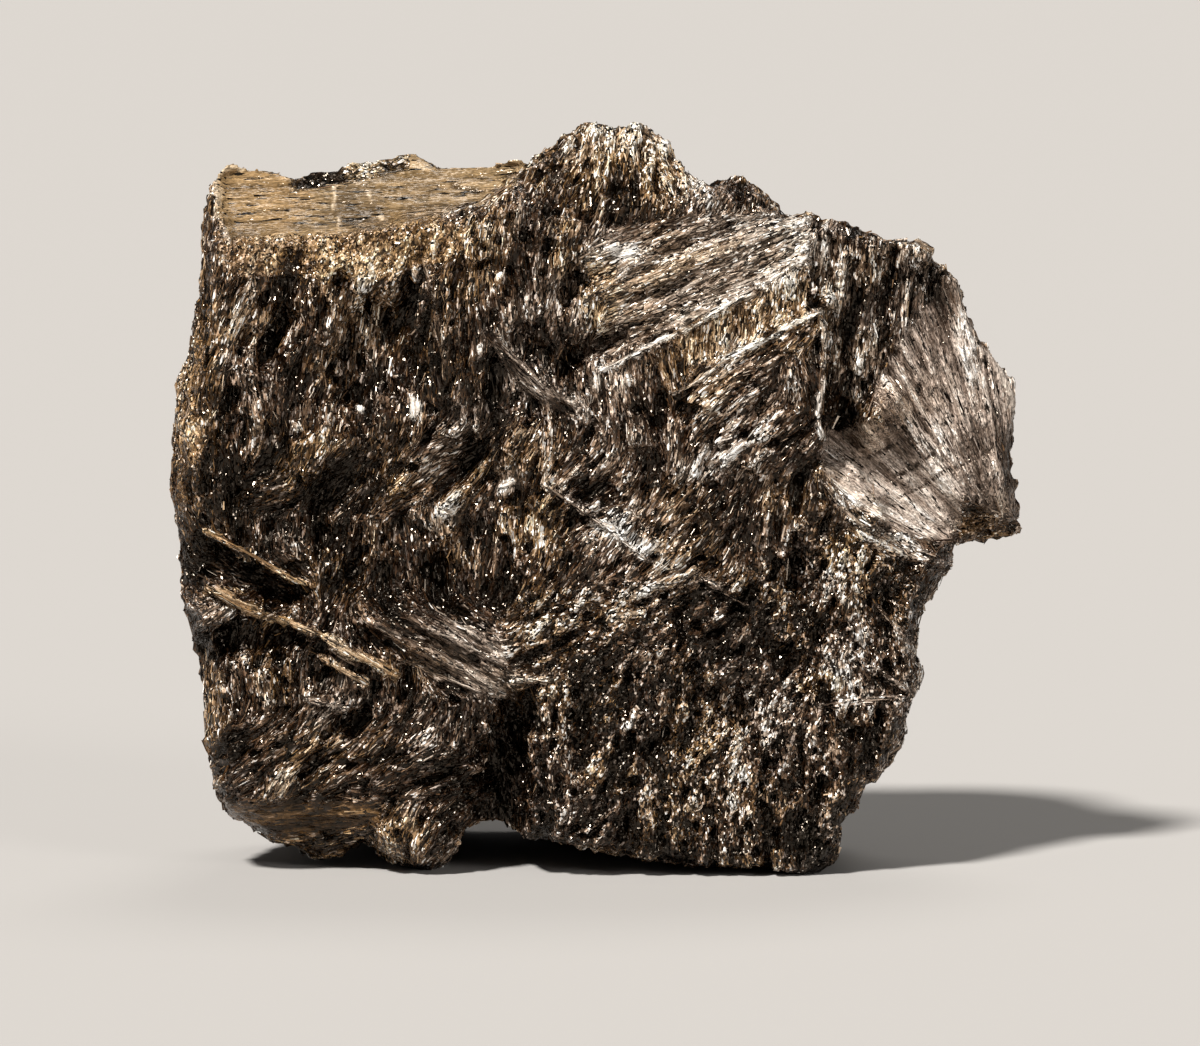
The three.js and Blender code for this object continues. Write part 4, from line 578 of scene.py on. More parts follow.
CRACK_FROM, CRACK_SHARE = 1.2, 0.4  # and between two strands
GRAIN_CREST = 1.2  # how soon a grain's crest is as high as it gets
PIT_FROM, PIT_RUN, CREVICE_SHARE = 1.1, 0.7, 0.6  # where pits are, and the crevices' share
WARM_OCHRE, COOL_GREY = 0.45, 0.15  # weights of two tones in the waves of warmth
PATCH_OCHRE, PATCH_GREY, CREAM_GREY = 3.5, 1.2, 0.7  # and where patches hold


def blades():
    """Relief in mm and brightness of the blades over the map. The gaps between blades are cut into the
    relief and painted with shade.
    """
    relief, bright = np.zeros(MAP_X.shape), np.zeros(MAP_X.shape)
    for zone, share in zip(ZONES, ZONE_SHARES):
        if HABITS[zone["habit"]]["blades"] is None:
            relief, bright = relief * (1 - share), bright * (1 - share)
            continue
        _, _, height, contrast = HABITS[zone["habit"]]["blades"]
        level, crown = blade_cells(zone)
        gap = smooth(1 - crown / BLADE_GAP)
        form = BLADE_LEVEL * level + BLADE_CROWN * crown - BLADE_CROWN * gap
        relief = relief * (1 - share) + share * height * form
        bright = bright * (1 - share) + share * contrast * (level - BLADE_GAP_PAINTED_SHADE * gap)
    return relief, bright


def relief_painted_light_and_shade(bundles, strands, grains, pits, pit_painted_shade):
    """Brightness that follows the relief: painted highlight where bundles, strands and grains stand up,
    painted shade in the pits.
    """
    return (BUNDLE_SHADE * np.tanh(bundles) + STRAND_SHADE * strands + GRAIN_SHADE * grains
            - pit_painted_shade * pits)


def front_maps():
    """The front face's relief in mm, brightness, graininess and fine lines, how bare of strokes
    it is, and the weight of each tone."""
    patches = {kind: patch_share(kind) for kind in PATCHES}
    # Crevices and pits are cut into the relief, and in the brightness they are painted shade.
    crevice = (np.maximum(0, -BUNDLES - CREVICE_FROM) ** CREVICE_POWER
               + CRACK_SHARE * np.maximum(0, -STRANDS - CRACK_FROM))
    pits = smooth((PITS - PIT_FROM) / PIT_RUN) + CREVICE_SHARE * crevice
    crests = np.tanh(GRAIN_CREST * GRAINS)
    layers = (np.tanh(BUNDLES), STRANDS, crests, LINES, -pits)
    blade_relief, blade_bright = blades()
    relief = sum(zoned("relief", k) * layer for k, layer in enumerate(layers)) + blade_relief
    relief = relief - PATCH_DEPTH * patches["dark"]
    rough, lined = zoned("speckle", 0), zoned("lined", 0)
    pattern = relief_painted_light_and_shade(BUNDLES, STRANDS, crests, pits, FRONT_PIT_PAINTED_SHADE) * rough
    pattern = pattern + LINE_SHADE * LINES * (1 - rough) + CLUSTER_SHADE * CLUSTERS
    bright = zoned("bright", 0) + zoned("bright", 1) * pattern + blade_bright
    bright = bright + sum(amount * patches[kind] for kind, amount in PATCH_BRIGHT.items())
    weights = {tone: np.zeros(MAP_X.shape) for tone in TONES}
    weights["brown"] += 1
    weights["ochre"] += WARM_OCHRE * np.maximum(0, WARMTH) + PATCH_OCHRE * patches["ochre"]
    weights["grey"] += COOL_GREY * np.maximum(0, -WARMTH) + PATCH_GREY * patches["grey"]
    weights["grey"] += CREAM_GREY * patches["cream"]
    for zone, share in zip(ZONES, ZONE_SHARES):
        for tone, amount in HABIT_TONES.get(zone["habit"], {}).items():
            weights[tone] += amount * share
    bare = np.ones(MAP_X.shape)
    for kind, stroke in STROKE_FIELDS.items():
        look = STROKE_KINDS[kind]
        hidden = look["hides"] * stroke.share
        relief = relief * (1 - hidden) + look["rise"] * stroke.crown
        bright = blended(bright, look["bright"] + STROKE_LINES * LINES, hidden)
        rough = rough * (1 - STROKE_SMOOTH * hidden)
        lined = blended(lined, STROKE_LINED, hidden)
        bare = bare * (1 - hidden)
        if look["tone"]:
            weights[look["tone"]] += STROKE_TONE * stroke.share
    return {"relief": relief, "bright": bright, "speckle": rough, "lined": lined, "bare": bare,
            **weights}


FRONT = front_maps()
SHELF_SHARE = ZONE_SHARES[[zone["part"] for zone in ZONES].index("shelf")]
RIM_CALM = 0.85  # how much of the sides' relief the shelf's back edge lacks


# The mass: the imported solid, remeshed, cut finely on its front and worked into fibre bundles

VOXEL = 0.5  # side of the remeshed squares
EASING = 4  # passes that ease the solid's facets
EASING_STEPS = (0.5, -0.51)  # a pass: in towards the neighbours, then back out
FRONT_FROM, FRONT_TO = 0.0, 0.35  # how far a normal turns to the viewer to count as front
CUT_FROM = 0.12  # and to have its squares cut in four
BACK_FROM, BACK_TO = 0.1, 0.5  # how far a normal turns away to count as back
SIDE_GRAIN = unit(np.array([0.2, 0.3, 0.93]))  # way of the fibres on the sides
BACK_GRAIN = unit(np.array([0.42, 0.06, 0.9]))  # and on the back
SIDE_BEND, SIDE_WAVE = 4.4, 11.0  # range of their stray, and its waves
BEND_SHIFTS = (3, 17, 29)  # where the noise for the bends is taken from
RUN_BEND, RUN_WAVE = 0.7, 9.0  # the same for the small crystals' way
SIDE_LAYERS = (  # length, width and noise of the fibres on the sides and back
    (9.0, 1.6, 5), (4.0, 0.8, 41), (1.6, 0.55, 22), (7.0, 4.0, 50), (24.0, 9.0, 33))
BACK_SHIFT = 7  # the back's own noise, from that of the sides
SIDE_PIT_FROM, SIDE_PIT_SHARE = 0.7, 0.7  # where the sides' crevices open, and how deep
WARMTH_WAVE, WARMTH_SHIFT = 6.0, 11  # waves of ochre and grey on the sides
WARMTH_MIDDLE, SIDE_OCHRE, SIDE_GREY = 0.45, 2.4, 2.0  # neither tone, and their weights
FOOT_FADE = 1.6  # height over which the relief begins above the floor


def front_share(normals):
    return smooth((-normals[:, 1] - FRONT_FROM) / (FRONT_TO - FRONT_FROM))


def back_share(normals):
    return smooth((normals[:, 1] - BACK_FROM) / (BACK_TO - BACK_FROM))


def bends(places, wave):
    return np.stack([lattice_noise(places / wave, shift) - 0.5 for shift in BEND_SHIFTS], axis=1)


def linked(name, data):
    """A new object in the scene."""
    thing = bpy.data.objects.new(name, data)
    bpy.context.scene.collection.objects.link(thing)
    return thing


def remeshed(node):
    """The node's solid as an even mesh of small squares: points in mm, and its squares."""
    copy = linked("remesh_source", node.data.copy())
    modifier = copy.modifiers.new("remesh", "REMESH")
    modifier.mode = "VOXEL"
    modifier.voxel_size = VOXEL * MM
    shape = copy.evaluated_get(bpy.context.evaluated_depsgraph_get()).to_mesh()
    points = np.empty(len(shape.vertices) * 3)
    shape.vertices.foreach_get("co", points)
    faces = np.empty(len(shape.loops), int)
    shape.loops.foreach_get("vertex_index", faces)
    bpy.data.objects.remove(copy)
    return points.reshape(-1, 3) / MM, faces.reshape(-1, 4)


def summed(index, values, count):
    return np.stack([np.bincount(index, values[:, k], count) for k in range(3)], axis=1)


def eased(points, quads, passes):
    """Points drawn towards their neighbours and back out, so that the form keeps its size."""
    starts, ends = quads.ravel(), np.roll(quads, -1, axis=1).ravel()
    index, other = np.concatenate([starts, ends]), np.concatenate([ends, starts])
    number = np.bincount(index, minlength=len(points))[:, None]
    for share in EASING_STEPS * passes:
        middle = summed(index, points[other], len(points)) / number
        points = points + share * (middle - points)
    return points


def square_normals(points, quads):
    """Normals of the squares, each twice as long as its area."""
    a, b, c, d = (points[quads[:, k]] for k in range(4))
    return np.cross(c - a, d - b)


def vertex_normals(points, quads):
    face = square_normals(points, quads)
    return unit(sum(summed(quads[:, k], face, len(points)) for k in range(4)))


class Cut:
    """Some squares of a mesh cut in four. New points come after the old ones."""

    def __init__(self, count, quads, chosen):
        squares = quads[chosen]
        pairs = np.stack([squares, np.roll(squares, -1, axis=1)], axis=2).reshape(-1, 2)
        self.edges, where, uses = np.unique(np.sort(pairs, axis=1), axis=0, return_inverse=True,
                                            return_counts=True)
        self.squares, self.count = squares, count
        self.border = np.flatnonzero(uses == 1)
        middles = count + where.reshape(-1, 4)
        centres = count + len(self.edges) + np.arange(len(squares))
        corners = [np.stack([squares[:, k], middles[:, k], centres, middles[:, k - 1]], axis=1)
                   for k in range(4)]
        self.fine = np.concatenate(corners)
        self.rest = quads[~chosen]

    def spread(self, values):
        """Values of the old points, and their means at the new ones."""
        return np.concatenate([values, values[self.edges].mean(axis=1),
                               values[self.squares].mean(axis=1)])

    def close(self, points):
        """Puts the middles of the border's edges back on them, so that no gap opens."""
        points[self.count + self.border] = points[self.edges[self.border]].mean(axis=1)
        return points


def grain_noise(points, grain, length, width, shift):
    """Noise drawn out along a direction, with unit spread."""
    along = points @ grain
    across = points - along[:, None] * grain
    return even(lattice_noise(across / width + along[:, None] * grain / length, shift))


def side_looks(points, normals):
    """Relief in mm and brightness on the sides and the back."""
    behind = back_share(normals)
    bent = points + SIDE_BEND * bends(points, SIDE_WAVE)
    layers = []
    for length, width, shift in SIDE_LAYERS:
        side = grain_noise(bent, SIDE_GRAIN, length, width, shift)
        back = grain_noise(bent, BACK_GRAIN, length, width, shift + BACK_SHIFT)
        layers.append(blended(side, back, behind))
    bundles, strands, grains, clusters, broad = layers
    pits = SIDE_PIT_SHARE * np.maximum(0, -bundles - SIDE_PIT_FROM) ** CREVICE_POWER
    depth = HABITS["fibrous"]["relief"]
    relief = depth[0] * np.tanh(bundles) + depth[1] * strands + depth[2] * grains
    relief = relief - depth[4] * pits
    # On the sides too, brightness follows the relief: painted highlight on its crests, painted shade in
    # its pits.
    bright = relief_painted_light_and_shade(bundles, strands, grains, pits, SIDE_PIT_PAINTED_SHADE)
    mean, contrast = HABITS["fibrous"]["bright"]
    return relief, mean + contrast * (bright + CLUSTER_SHADE * clusters + BROAD_SHADE * broad)


def looks_at(points, normals):
    """How places on the mass look: relief, brightness, tones, graininess and fine lines."""
    x, v = points[:, 0], picture_v(points)
    front = front_share(normals)
    side_relief, side_bright = side_looks(points, normals)
    calm = 1 - RIM_CALM * sampled(SHELF_SHARE, x, v)
    relief = front * sampled(FRONT["relief"], x, v) + (1 - front) * side_relief * calm
    bright = blended(side_bright, sampled(FRONT["bright"], x, v), front)
    weights = np.stack([sampled(FRONT[tone], x, v) * front for tone in TONES], axis=1)
    warmth = lattice_noise(points / WARMTH_WAVE, WARMTH_SHIFT)
    warm, cool = np.maximum(0, warmth - WARMTH_MIDDLE), np.maximum(0, WARMTH_MIDDLE - warmth)
    weights[:, TONES.index("brown")] += 1 - front
    weights[:, TONES.index("ochre")] += SIDE_OCHRE * (1 - front) * warm
    weights[:, TONES.index("grey")] += SIDE_GREY * (1 - front) * cool
    speckle, lined = (blended(HABITS["fibrous"][key], sampled(FRONT[key], x, v), front)
                      for key in ("speckle", "lined"))
    return SimpleNamespace(x=x, v=v, front=front, relief=relief, bright=bright, weights=weights,
                           speckle=speckle, lined=lined)


def displaced(points, normals, relief):
    moved = points + normals * relief[:, None]
    foot = smooth(points[:, 2] / FOOT_FADE)[:, None]
    moved = blended(points, moved, foot)
    moved[:, 2] = np.maximum(moved[:, 2], 0.0)
    return moved


def linear(colour):
    value = np.asarray(colour) / 255
    return np.where(value < 0.04045, value / 12.92, ((value + 0.055) / 1.055) ** 2.4)


def toned(bright, weights):
    """Colours from the ramps, mixed by their weights."""
    weights = weights / weights.sum(axis=1, keepdims=True)
    total = np.zeros((len(bright), 3))
    for index, tone in enumerate(TONES):
        ramp = linear(RAMPS[tone])
        colour = np.stack([np.interp(bright, RAMP_STOPS, ramp[:, k]) for k in range(3)], axis=1)
        total += weights[:, index, None] * colour
    return total


# Meshes

def new_piece(name, points, faces, colours, corners, material):
    """A piece of the specimen from points in mm, its colours and its place on the bake sheet."""
    mesh = bpy.data.meshes.new(name)
    mesh.from_pydata((points * MM).tolist(), [], faces)
    tint = mesh.color_attributes.new("tint", "FLOAT_COLOR", "POINT")
    tint.data.foreach_set("color", np.column_stack([colours, np.ones(len(colours))]).ravel())
    layer = mesh.uv_layers.new(name="OFBake")
    layer.data.foreach_set("uv", corners.ravel())
    mesh.materials.append(material)
    piece = linked(name, mesh)
    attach(piece, "root")
    return piece


RAY_START = 100  # where a look at the face starts, in front of it


class Surface:
    """The worked mass, for placing things on it."""

    def __init__(self, points, quads):
        self.points, self.quads = points, quads
        self.normals = vertex_normals(points, quads)
        self.tree = BVHTree.FromPolygons(points.tolist(), quads.tolist())
        self.area = np.linalg.norm(square_normals(points, quads), axis=1) / 2
        self.middle = points[quads].mean(axis=1)
        self.facing = unit(self.normals[quads].mean(axis=1))

    def scattered(self, weight, count):
        """Random places on the surface and the normals there, more of them where weight is high."""
        chance = self.area * weight
        chosen = RNG.choice(len(self.quads), count, p=chance / chance.sum())
        s, t = RNG.random(count), RNG.random(count)
        share = np.stack([(1 - s) * (1 - t), s * (1 - t), s * t, (1 - s) * t], axis=1)[:, :, None]
        quads = self.quads[chosen]
        return ((self.points[quads] * share).sum(axis=1),
                unit((self.normals[quads] * share).sum(axis=1)))

    def nearest(self, places):
        found = [self.tree.find_nearest(place)[0] for place in places.tolist()]
        return np.array([tuple(place) for place in found])

    def seen(self, x, v):
        """Place and normal of the front face behind a place of the picture, or None."""
        start = PICTURE_X * x + PICTURE_V * v - PICTURE_AWAY * RAY_START
        lift = FOOT_DEPTH * math.tan(VIEW_TILT) - FOOT_WEAR
        start = start + [0, -MIDDLE_DEPTH, lift]
        place, normal, _, _ = self.tree.ray_cast(start.tolist(), PICTURE_AWAY.tolist())
        return None if place is None else (np.array(place), np.array(normal))


FIBRE_STEP = math.radians(6)  # the grain's way is rounded to steps of this on the front
SIDE_FIBRE_STEPS = 3  # and to so many steps a side of the unit cube elsewhere
DRAWN_STEPS = 8  # steps in how far the grains are drawn out
LEAST_FACING, MOST_LEAN = 0.3, 1.5  # limits on how steeply a crystal follows the face
NOT_ZERO = 1e-4  # keeps a direction where the fibres run straight into the face


def flow_angle(places):
    x, v = places[:, 0], picture_v(places)
    return np.arctan2(sampled(FLOW_SIN, x, v), sampled(FLOW_COS, x, v)) / 2


def picture_way(angle):
    return np.cos(angle)[:, None] * PICTURE_X + np.sin(angle)[:, None] * PICTURE_V


def square_to(vectors, axes):
    """What is left of vectors when they have no share along unit axes."""
    return vectors - (vectors * axes).sum(axis=1)[:, None] * axes


def side_run(places, normals):
    """Direction of the fibres on the sides and the back."""
    behind = back_share(normals)[:, None]
    grain = blended(SIDE_GRAIN, BACK_GRAIN, behind)
    return unit(grain + RUN_BEND * bends(places, RUN_WAVE))


def rounded_run(places, normals):
    """Direction of the fibres, rounded so that each small neighbourhood shares one. Its length
    says how far the grains there are drawn out."""
    angle = np.rint(flow_angle(places) / FIBRE_STEP) * FIBRE_STEP
    drawn = sampled(zoned("drawn", 0), places[:, 0], picture_v(places))[:, None]
    seen = picture_way(angle) * np.sqrt(np.rint(DRAWN_STEPS * drawn) / DRAWN_STEPS)
    plain = unit(np.rint(SIDE_FIBRE_STEPS * side_run(places, normals)))
    return np.where(-normals[:, 1:2] > FRONT_TO / 2, seen, plain)


def flow_directions(places, normals, front):
    """Direction of the fibres in the surface at each place."""
    flat = picture_way(flow_angle(places))
    lean = -(flat * normals).sum(axis=1) / np.minimum(normals @ PICTURE_AWAY, -LEAST_FACING)
    seen = unit(flat + np.clip(lean, -MOST_LEAN, MOST_LEAN)[:, None] * PICTURE_AWAY)
    direction = np.where(front[:, None] > 0.5, seen, side_run(places, normals))
    return unit(square_to(direction, normals) + NOT_ZERO)


def turned(vectors, axes, degrees):
    """Vectors turned about axes that are square to them."""
    angle = np.radians(degrees)[:, None]
    return vectors * np.cos(angle) + np.cross(axes, vectors) * np.sin(angle)


def log_between(low, high, share):
    return low * (high / low) ** share


# A splinter is a prism of three sides. A sliver is cheaper, with an edge at each end, one lying
# and one upright.
PRISM_FACES = [[0, 1, 2], [3, 5, 4], [1, 0, 3, 4], [2, 1, 4, 5], [0, 2, 5, 3]]
SLIVER_FACES = [[0, 1, 3], [1, 0, 2], [0, 3, 2], [1, 2, 3]]
TAPER = (0.45, 1.0)  # size of a prism's ends, as a share of its own
CREST = 0.8  # how far its crest may lie off its middle, in half widths
SLIVER_LOW, SLIVER_HIGH = 0.3, 0.8  # reach of a sliver's upright edge
CELL_FROM, CELL_TO = 0.2, 0.8  # a solid's corners within its cell of the bake sheet


def repeated_faces(pattern, step, count):
    return [[start + k for k in face] for start in range(0, step * count, step) for face in pattern]


def cell_corners(pattern, count):
    """A small cell of the bake sheet for each solid, which all its faces share."""
    side = math.ceil(math.sqrt(count))
    index = np.arange(count)
    low = np.stack([index % side, index // side], axis=1) / side
    spots = np.array([(CELL_FROM, CELL_FROM), (CELL_TO, CELL_FROM), (CELL_TO, CELL_TO),
                      (CELL_FROM, CELL_TO)]) / side
    corners = np.concatenate([spots[:len(face)] for face in pattern])
    return (low[:, None, :] + corners[None, :, :]).reshape(-1, 2)


def prism_points(ends, rise, side, width, height):
    """Foot, foot and crest at each end."""
    taper = RNG.uniform(*TAPER, (len(ends), 2))
    crest = RNG.uniform(-CREST, CREST, len(ends))
    corners = []
    for k in (0, 1):
        w, h = (width * taper[:, k])[:, None], (height * taper[:, k])[:, None]
        corners += [ends[:, k] - side * w / 2, ends[:, k] + side * w / 2,
                    ends[:, k] + side * w / 2 * crest[:, None] + rise * h]
    return np.stack(corners, axis=1).reshape(-1, 3)


def sliver_points(ends, rise, side, width, height):
    w, h = width[:, None], height[:, None]
    corners = [ends[:, 0] - side * w / 2, ends[:, 0] + side * w / 2,
               ends[:, 1] - rise * h * SLIVER_LOW, ends[:, 1] + rise * h * SLIVER_HIGH]
    return np.stack(corners, axis=1).reshape(-1, 3)


SHORTNESS = 1.2  # above 1, more of the splinters are short
HEIGHT_STRAY = (0.6, 1.3)  # its height, as a share of its habit's
ZONE_RAG = (0.2, 0.8)  # share of a zone from which a crystal counts as in it
FOLLOW = (0.8, 1.0)  # how far a splinter's ends are drawn to the surface
SINK, CLEAR = 0.35, 0.5  # how deep it is set, in heights, and its room below, in widths
TONE_STRAY = (0.2, 1.8)  # how far the weights of its tones stray
SPLINTER_SHADE = 0.95  # how much a splinter strays from its place's brightness
LEAST_STRAY = 0.3  # the share of that where the face is smooth
SPLINTER_LIFT = 0.25  # and how much brighter than it they are


def habit_indices(x, v, front):
    """Index of the habit at each place, ragged at the zones' edges."""
    habit = np.full(len(x), HABIT_NAMES.index("fibrous"))
    for zone, share in zip(ZONES, ZONE_SHARES):
        within = sampled(share, x, v) * front > RNG.uniform(*ZONE_RAG, len(x))
        habit[within] = HABIT_NAMES.index(zone["habit"])
    return habit


def habit_value(key, habit):
    table = np.array([np.ravel(HABITS[name][key]) for name in HABIT_NAMES], float)
    return table[habit]


def splinters(name, surface, weight, count, size, long, material):
    """A piece of prisms if long, and else of slivers, scattered over the surface by a weight."""
    places, normals = surface.scattered(weight, count)
    looks = looks_at(places, normals)
    habit = habit_indices(looks.x, looks.v, looks.front)
    length = log_between(*habit_value("length", habit).T, RNG.random(count) ** SHORTNESS) * size
    width = log_between(*habit_value("width", habit).T, RNG.random(count)) * size
    height = width * habit_value("height", habit)[:, 0] * RNG.uniform(*HEIGHT_STRAY, count)
    run = flow_directions(places, normals, looks.front)
    run = turned(run, normals, RNG.normal(0, 1, count) * habit_value("spread", habit)[:, 0])
    half = (run * length[:, None]) / 2
    ends = np.stack([places - half, places + half], axis=1)
    near = surface.nearest(ends.reshape(-1, 3)).reshape(-1, 2, 3)
    ends = ends + (near - ends) * RNG.uniform(*FOLLOW, (count, 1, 1))
    run = unit(ends[:, 1] - ends[:, 0])
    rise = unit(square_to(normals, run))
    rise = turned(rise, run, RNG.normal(0, 1, count) * habit_value("roll", habit)[:, 0])
    side = np.cross(run, rise)
    lift = np.abs(RNG.normal(0, 1, count)) * np.radians(habit_value("lift", habit)[:, 0]) * length
    raised = np.where(RNG.random((count, 1)) < 0.5, [[1.0, 0.0]], [[0.0, 1.0]]) * lift[:, None]
    sink = SINK * height[:, None]
    ends = ends + normals[:, None, :] * (raised - sink)[:, :, None]
    ends[:, :, 2] = np.maximum(ends[:, :, 2], CLEAR * width[:, None])
    points = (prism_points if long else sliver_points)(ends, rise, side, width, height)
    points[:, 2] = np.maximum(points[:, 2], 0.0)
    stray = SPLINTER_SHADE * np.clip(looks.speckle, LEAST_STRAY, 1)
    bright = looks.bright + SPLINTER_LIFT + stray * RNG.standard_normal(count)
    colours = toned(bright, looks.weights * RNG.uniform(*TONE_STRAY, looks.weights.shape))
    pattern, step = (PRISM_FACES, 6) if long else (SLIVER_FACES, 4)
    return new_piece(name, points, repeated_faces(pattern, step, count),
                     np.repeat(colours, step, axis=0), cell_corners(pattern, count), material)


# Slender crystals along the strokes

LATH_STATIONS = 6
LATH_JUMP = 0.8  # most that the face may step between two stations
LATH_OFFSET, LATH_WAVER = 0.7, 0.05  # how far it lies off its path and strays
LATH_STRAIGHT = 0.2  # how far it is drawn straight
LATH_TIP = 0.35  # angle on its belly's sine wave where it ends
LATH_WIDTH, LATH_HEIGHT = (0.6, 1.4), (0.5, 0.9)  # shares of the stated width, and of that
LATH_CREST, LATH_SINK = 0.7, 0.2  # how far its crest lies off its middle, and how deep it is set
LATH_LOOK, LATH_LIFT, LATH_STRAY = 0.5, 0.9, 0.5  # brightness: the face's share, more, stray


def along_path(path, share):
    """Places at shares of a path's length."""
    path = np.array(path, float)
    lengths = np.concatenate([[0], np.cumsum(np.hypot(*np.diff(path, axis=0).T))])
    return np.stack([np.interp(share * lengths[-1], lengths, path[:, k]) for k in (0, 1)], axis=1)


def lath(surface, path, look):
    """One slender crystal on a path: its middle line and mean normal. None where the face ends
    or steps."""
    length = RNG.uniform(*look["share"])
    start = RNG.uniform(0, 1 - length)
    places = along_path(path, start + length * np.linspace(0, 1, LATH_STATIONS))
    ahead = unit(np.gradient(places, axis=0))
    across = np.stack([-ahead[:, 1], ahead[:, 0]], axis=1)
    shift = RNG.normal(0, look["half"] * LATH_OFFSET)
    shift = shift + RNG.normal(0, LATH_WAVER, (LATH_STATIONS, 1))
    found = [surface.seen(x, v) for x, v in places + across * shift]
    if None in found:
        return None
    middle = np.array([place for place, _ in found])
    if np.abs(np.diff(middle[:, 1])).max() > LATH_JUMP:
        return None
    return middle, unit(sum(normal for _, normal in found))


def lath_faces(start):
    faces = [[start, start + 1, start + 2]]
    for k in range(start, start + 3 * (LATH_STATIONS - 1), 3):
        faces += [[k + 1, k, k + 3, k + 4], [k + 2, k + 1, k + 4, k + 5], [k, k + 2, k + 5, k + 3]]
    last = start + 3 * (LATH_STATIONS - 1)
    return faces + [[last, last + 2, last + 1]]


def laths(surface, material):
    """The piece that holds the slender crystals of every stroke."""
    points, faces, colours = [], [], []
    for kind, paths in STROKES.items():
        look = STROKE_KINDS[kind]
        for path in (path for path in paths for _ in range(look["laths"])):
            made = lath(surface, path, look)
            if made is None:
                continue
            middle, normal = made
            straight = np.linspace(middle[0], middle[-1], LATH_STATIONS)
            middle = blended(middle, straight, LATH_STRAIGHT)
            run = unit(np.gradient(middle, axis=0))
            rise = unit(normal - (run @ normal)[:, None] * run)
            side = np.cross(run, rise)
            belly = np.sin(np.linspace(LATH_TIP, math.pi - LATH_TIP, LATH_STATIONS))[:, None]
            width = look["width"] * RNG.uniform(*LATH_WIDTH) * belly
            height = width * RNG.uniform(*LATH_HEIGHT)
            crest = RNG.uniform(-LATH_CREST, LATH_CREST)
            foot = middle - rise * height * LATH_SINK
            corners = [foot - side * width / 2, foot + side * width / 2,
                       foot + side * width / 2 * crest + rise * height]
            faces += lath_faces(3 * LATH_STATIONS * len(points))
            points.append(np.stack(corners, axis=1).reshape(-1, 3))
            looks = looks_at(middle, np.repeat([normal], LATH_STATIONS, axis=0))
            bright = looks.bright * LATH_LOOK + LATH_LIFT + LATH_STRAY * RNG.standard_normal()
            colours.append(np.repeat(toned(bright, looks.weights), 3, axis=0))
    pattern = lath_faces(0)
    return new_piece("crystals_large", np.concatenate(points), faces, np.concatenate(colours),
                     cell_corners(pattern, len(points)), material)


# Materials

GRAIN = (0.00025, 0.0007)  # width and length of a grain in metres
LINE = (0.00018, 0.004)  # and of a fine line where the surface is smooth
GRAIN_WAVER = 0.35  # how far a grain's outline strays, in grains
GRAIN_GAP = 0.11  # half the gap between two grains that is painted with shade, in grains
GRAIN_GAP_PAINTED_SHADE = 0.15  # the brightest grain's shade in that gap of painted shade
GRAIN_WAVE = 1.6  # how quickly a grain's outline strays
GRAIN_SHADES = [(0.0, 0.02), (0.3, 0.1), (0.5, 0.5), (0.7, 1.3), (0.86, 4.0), (0.95, 10.0),
                (1.0, 32.0)]  # share of the grains, and the shade at it; the highest shades are painted glints
PALING = (1.0, 6.0, 0.85)  # shades over which a grain loses its hue as it turns into a painted glint, and how far it does
PALE_HUE = (1.12, 1.0, 0.9)  # what the painted glint keeps of red, green and blue
LIGHTNESS = (0.3, 0.5, 0.2)  # shares of red, green and blue in a colour's lightness
BRIGHTEST = (0.9, 0.88, 0.85)  # most that a colour is raised to
GRAIN_TILT = 1.15  # how far the grains' own normals lean
LINE_NOISE, LINE_SHADES = (0.36, 0.64), (0.25, 2.0)  # a range of noise, and its shades
CRYSTAL_UNEVEN = 4000.0  # waves of shade to the metre on the splinters
CRYSTAL_NOISE, CRYSTAL_SHADES = (0.3, 0.7), (0.5, 1.6)
GLOSS = (0.1, 0.3)  # range of the roughness
SPECULAR_LEVEL = 0.4
SPECULAR_TINT = (1.0, 0.83, 0.66, 1.0)


MIX_SOCKETS = (6, 7, 2)  # the two colours that a Mix node takes, and the one that it gives


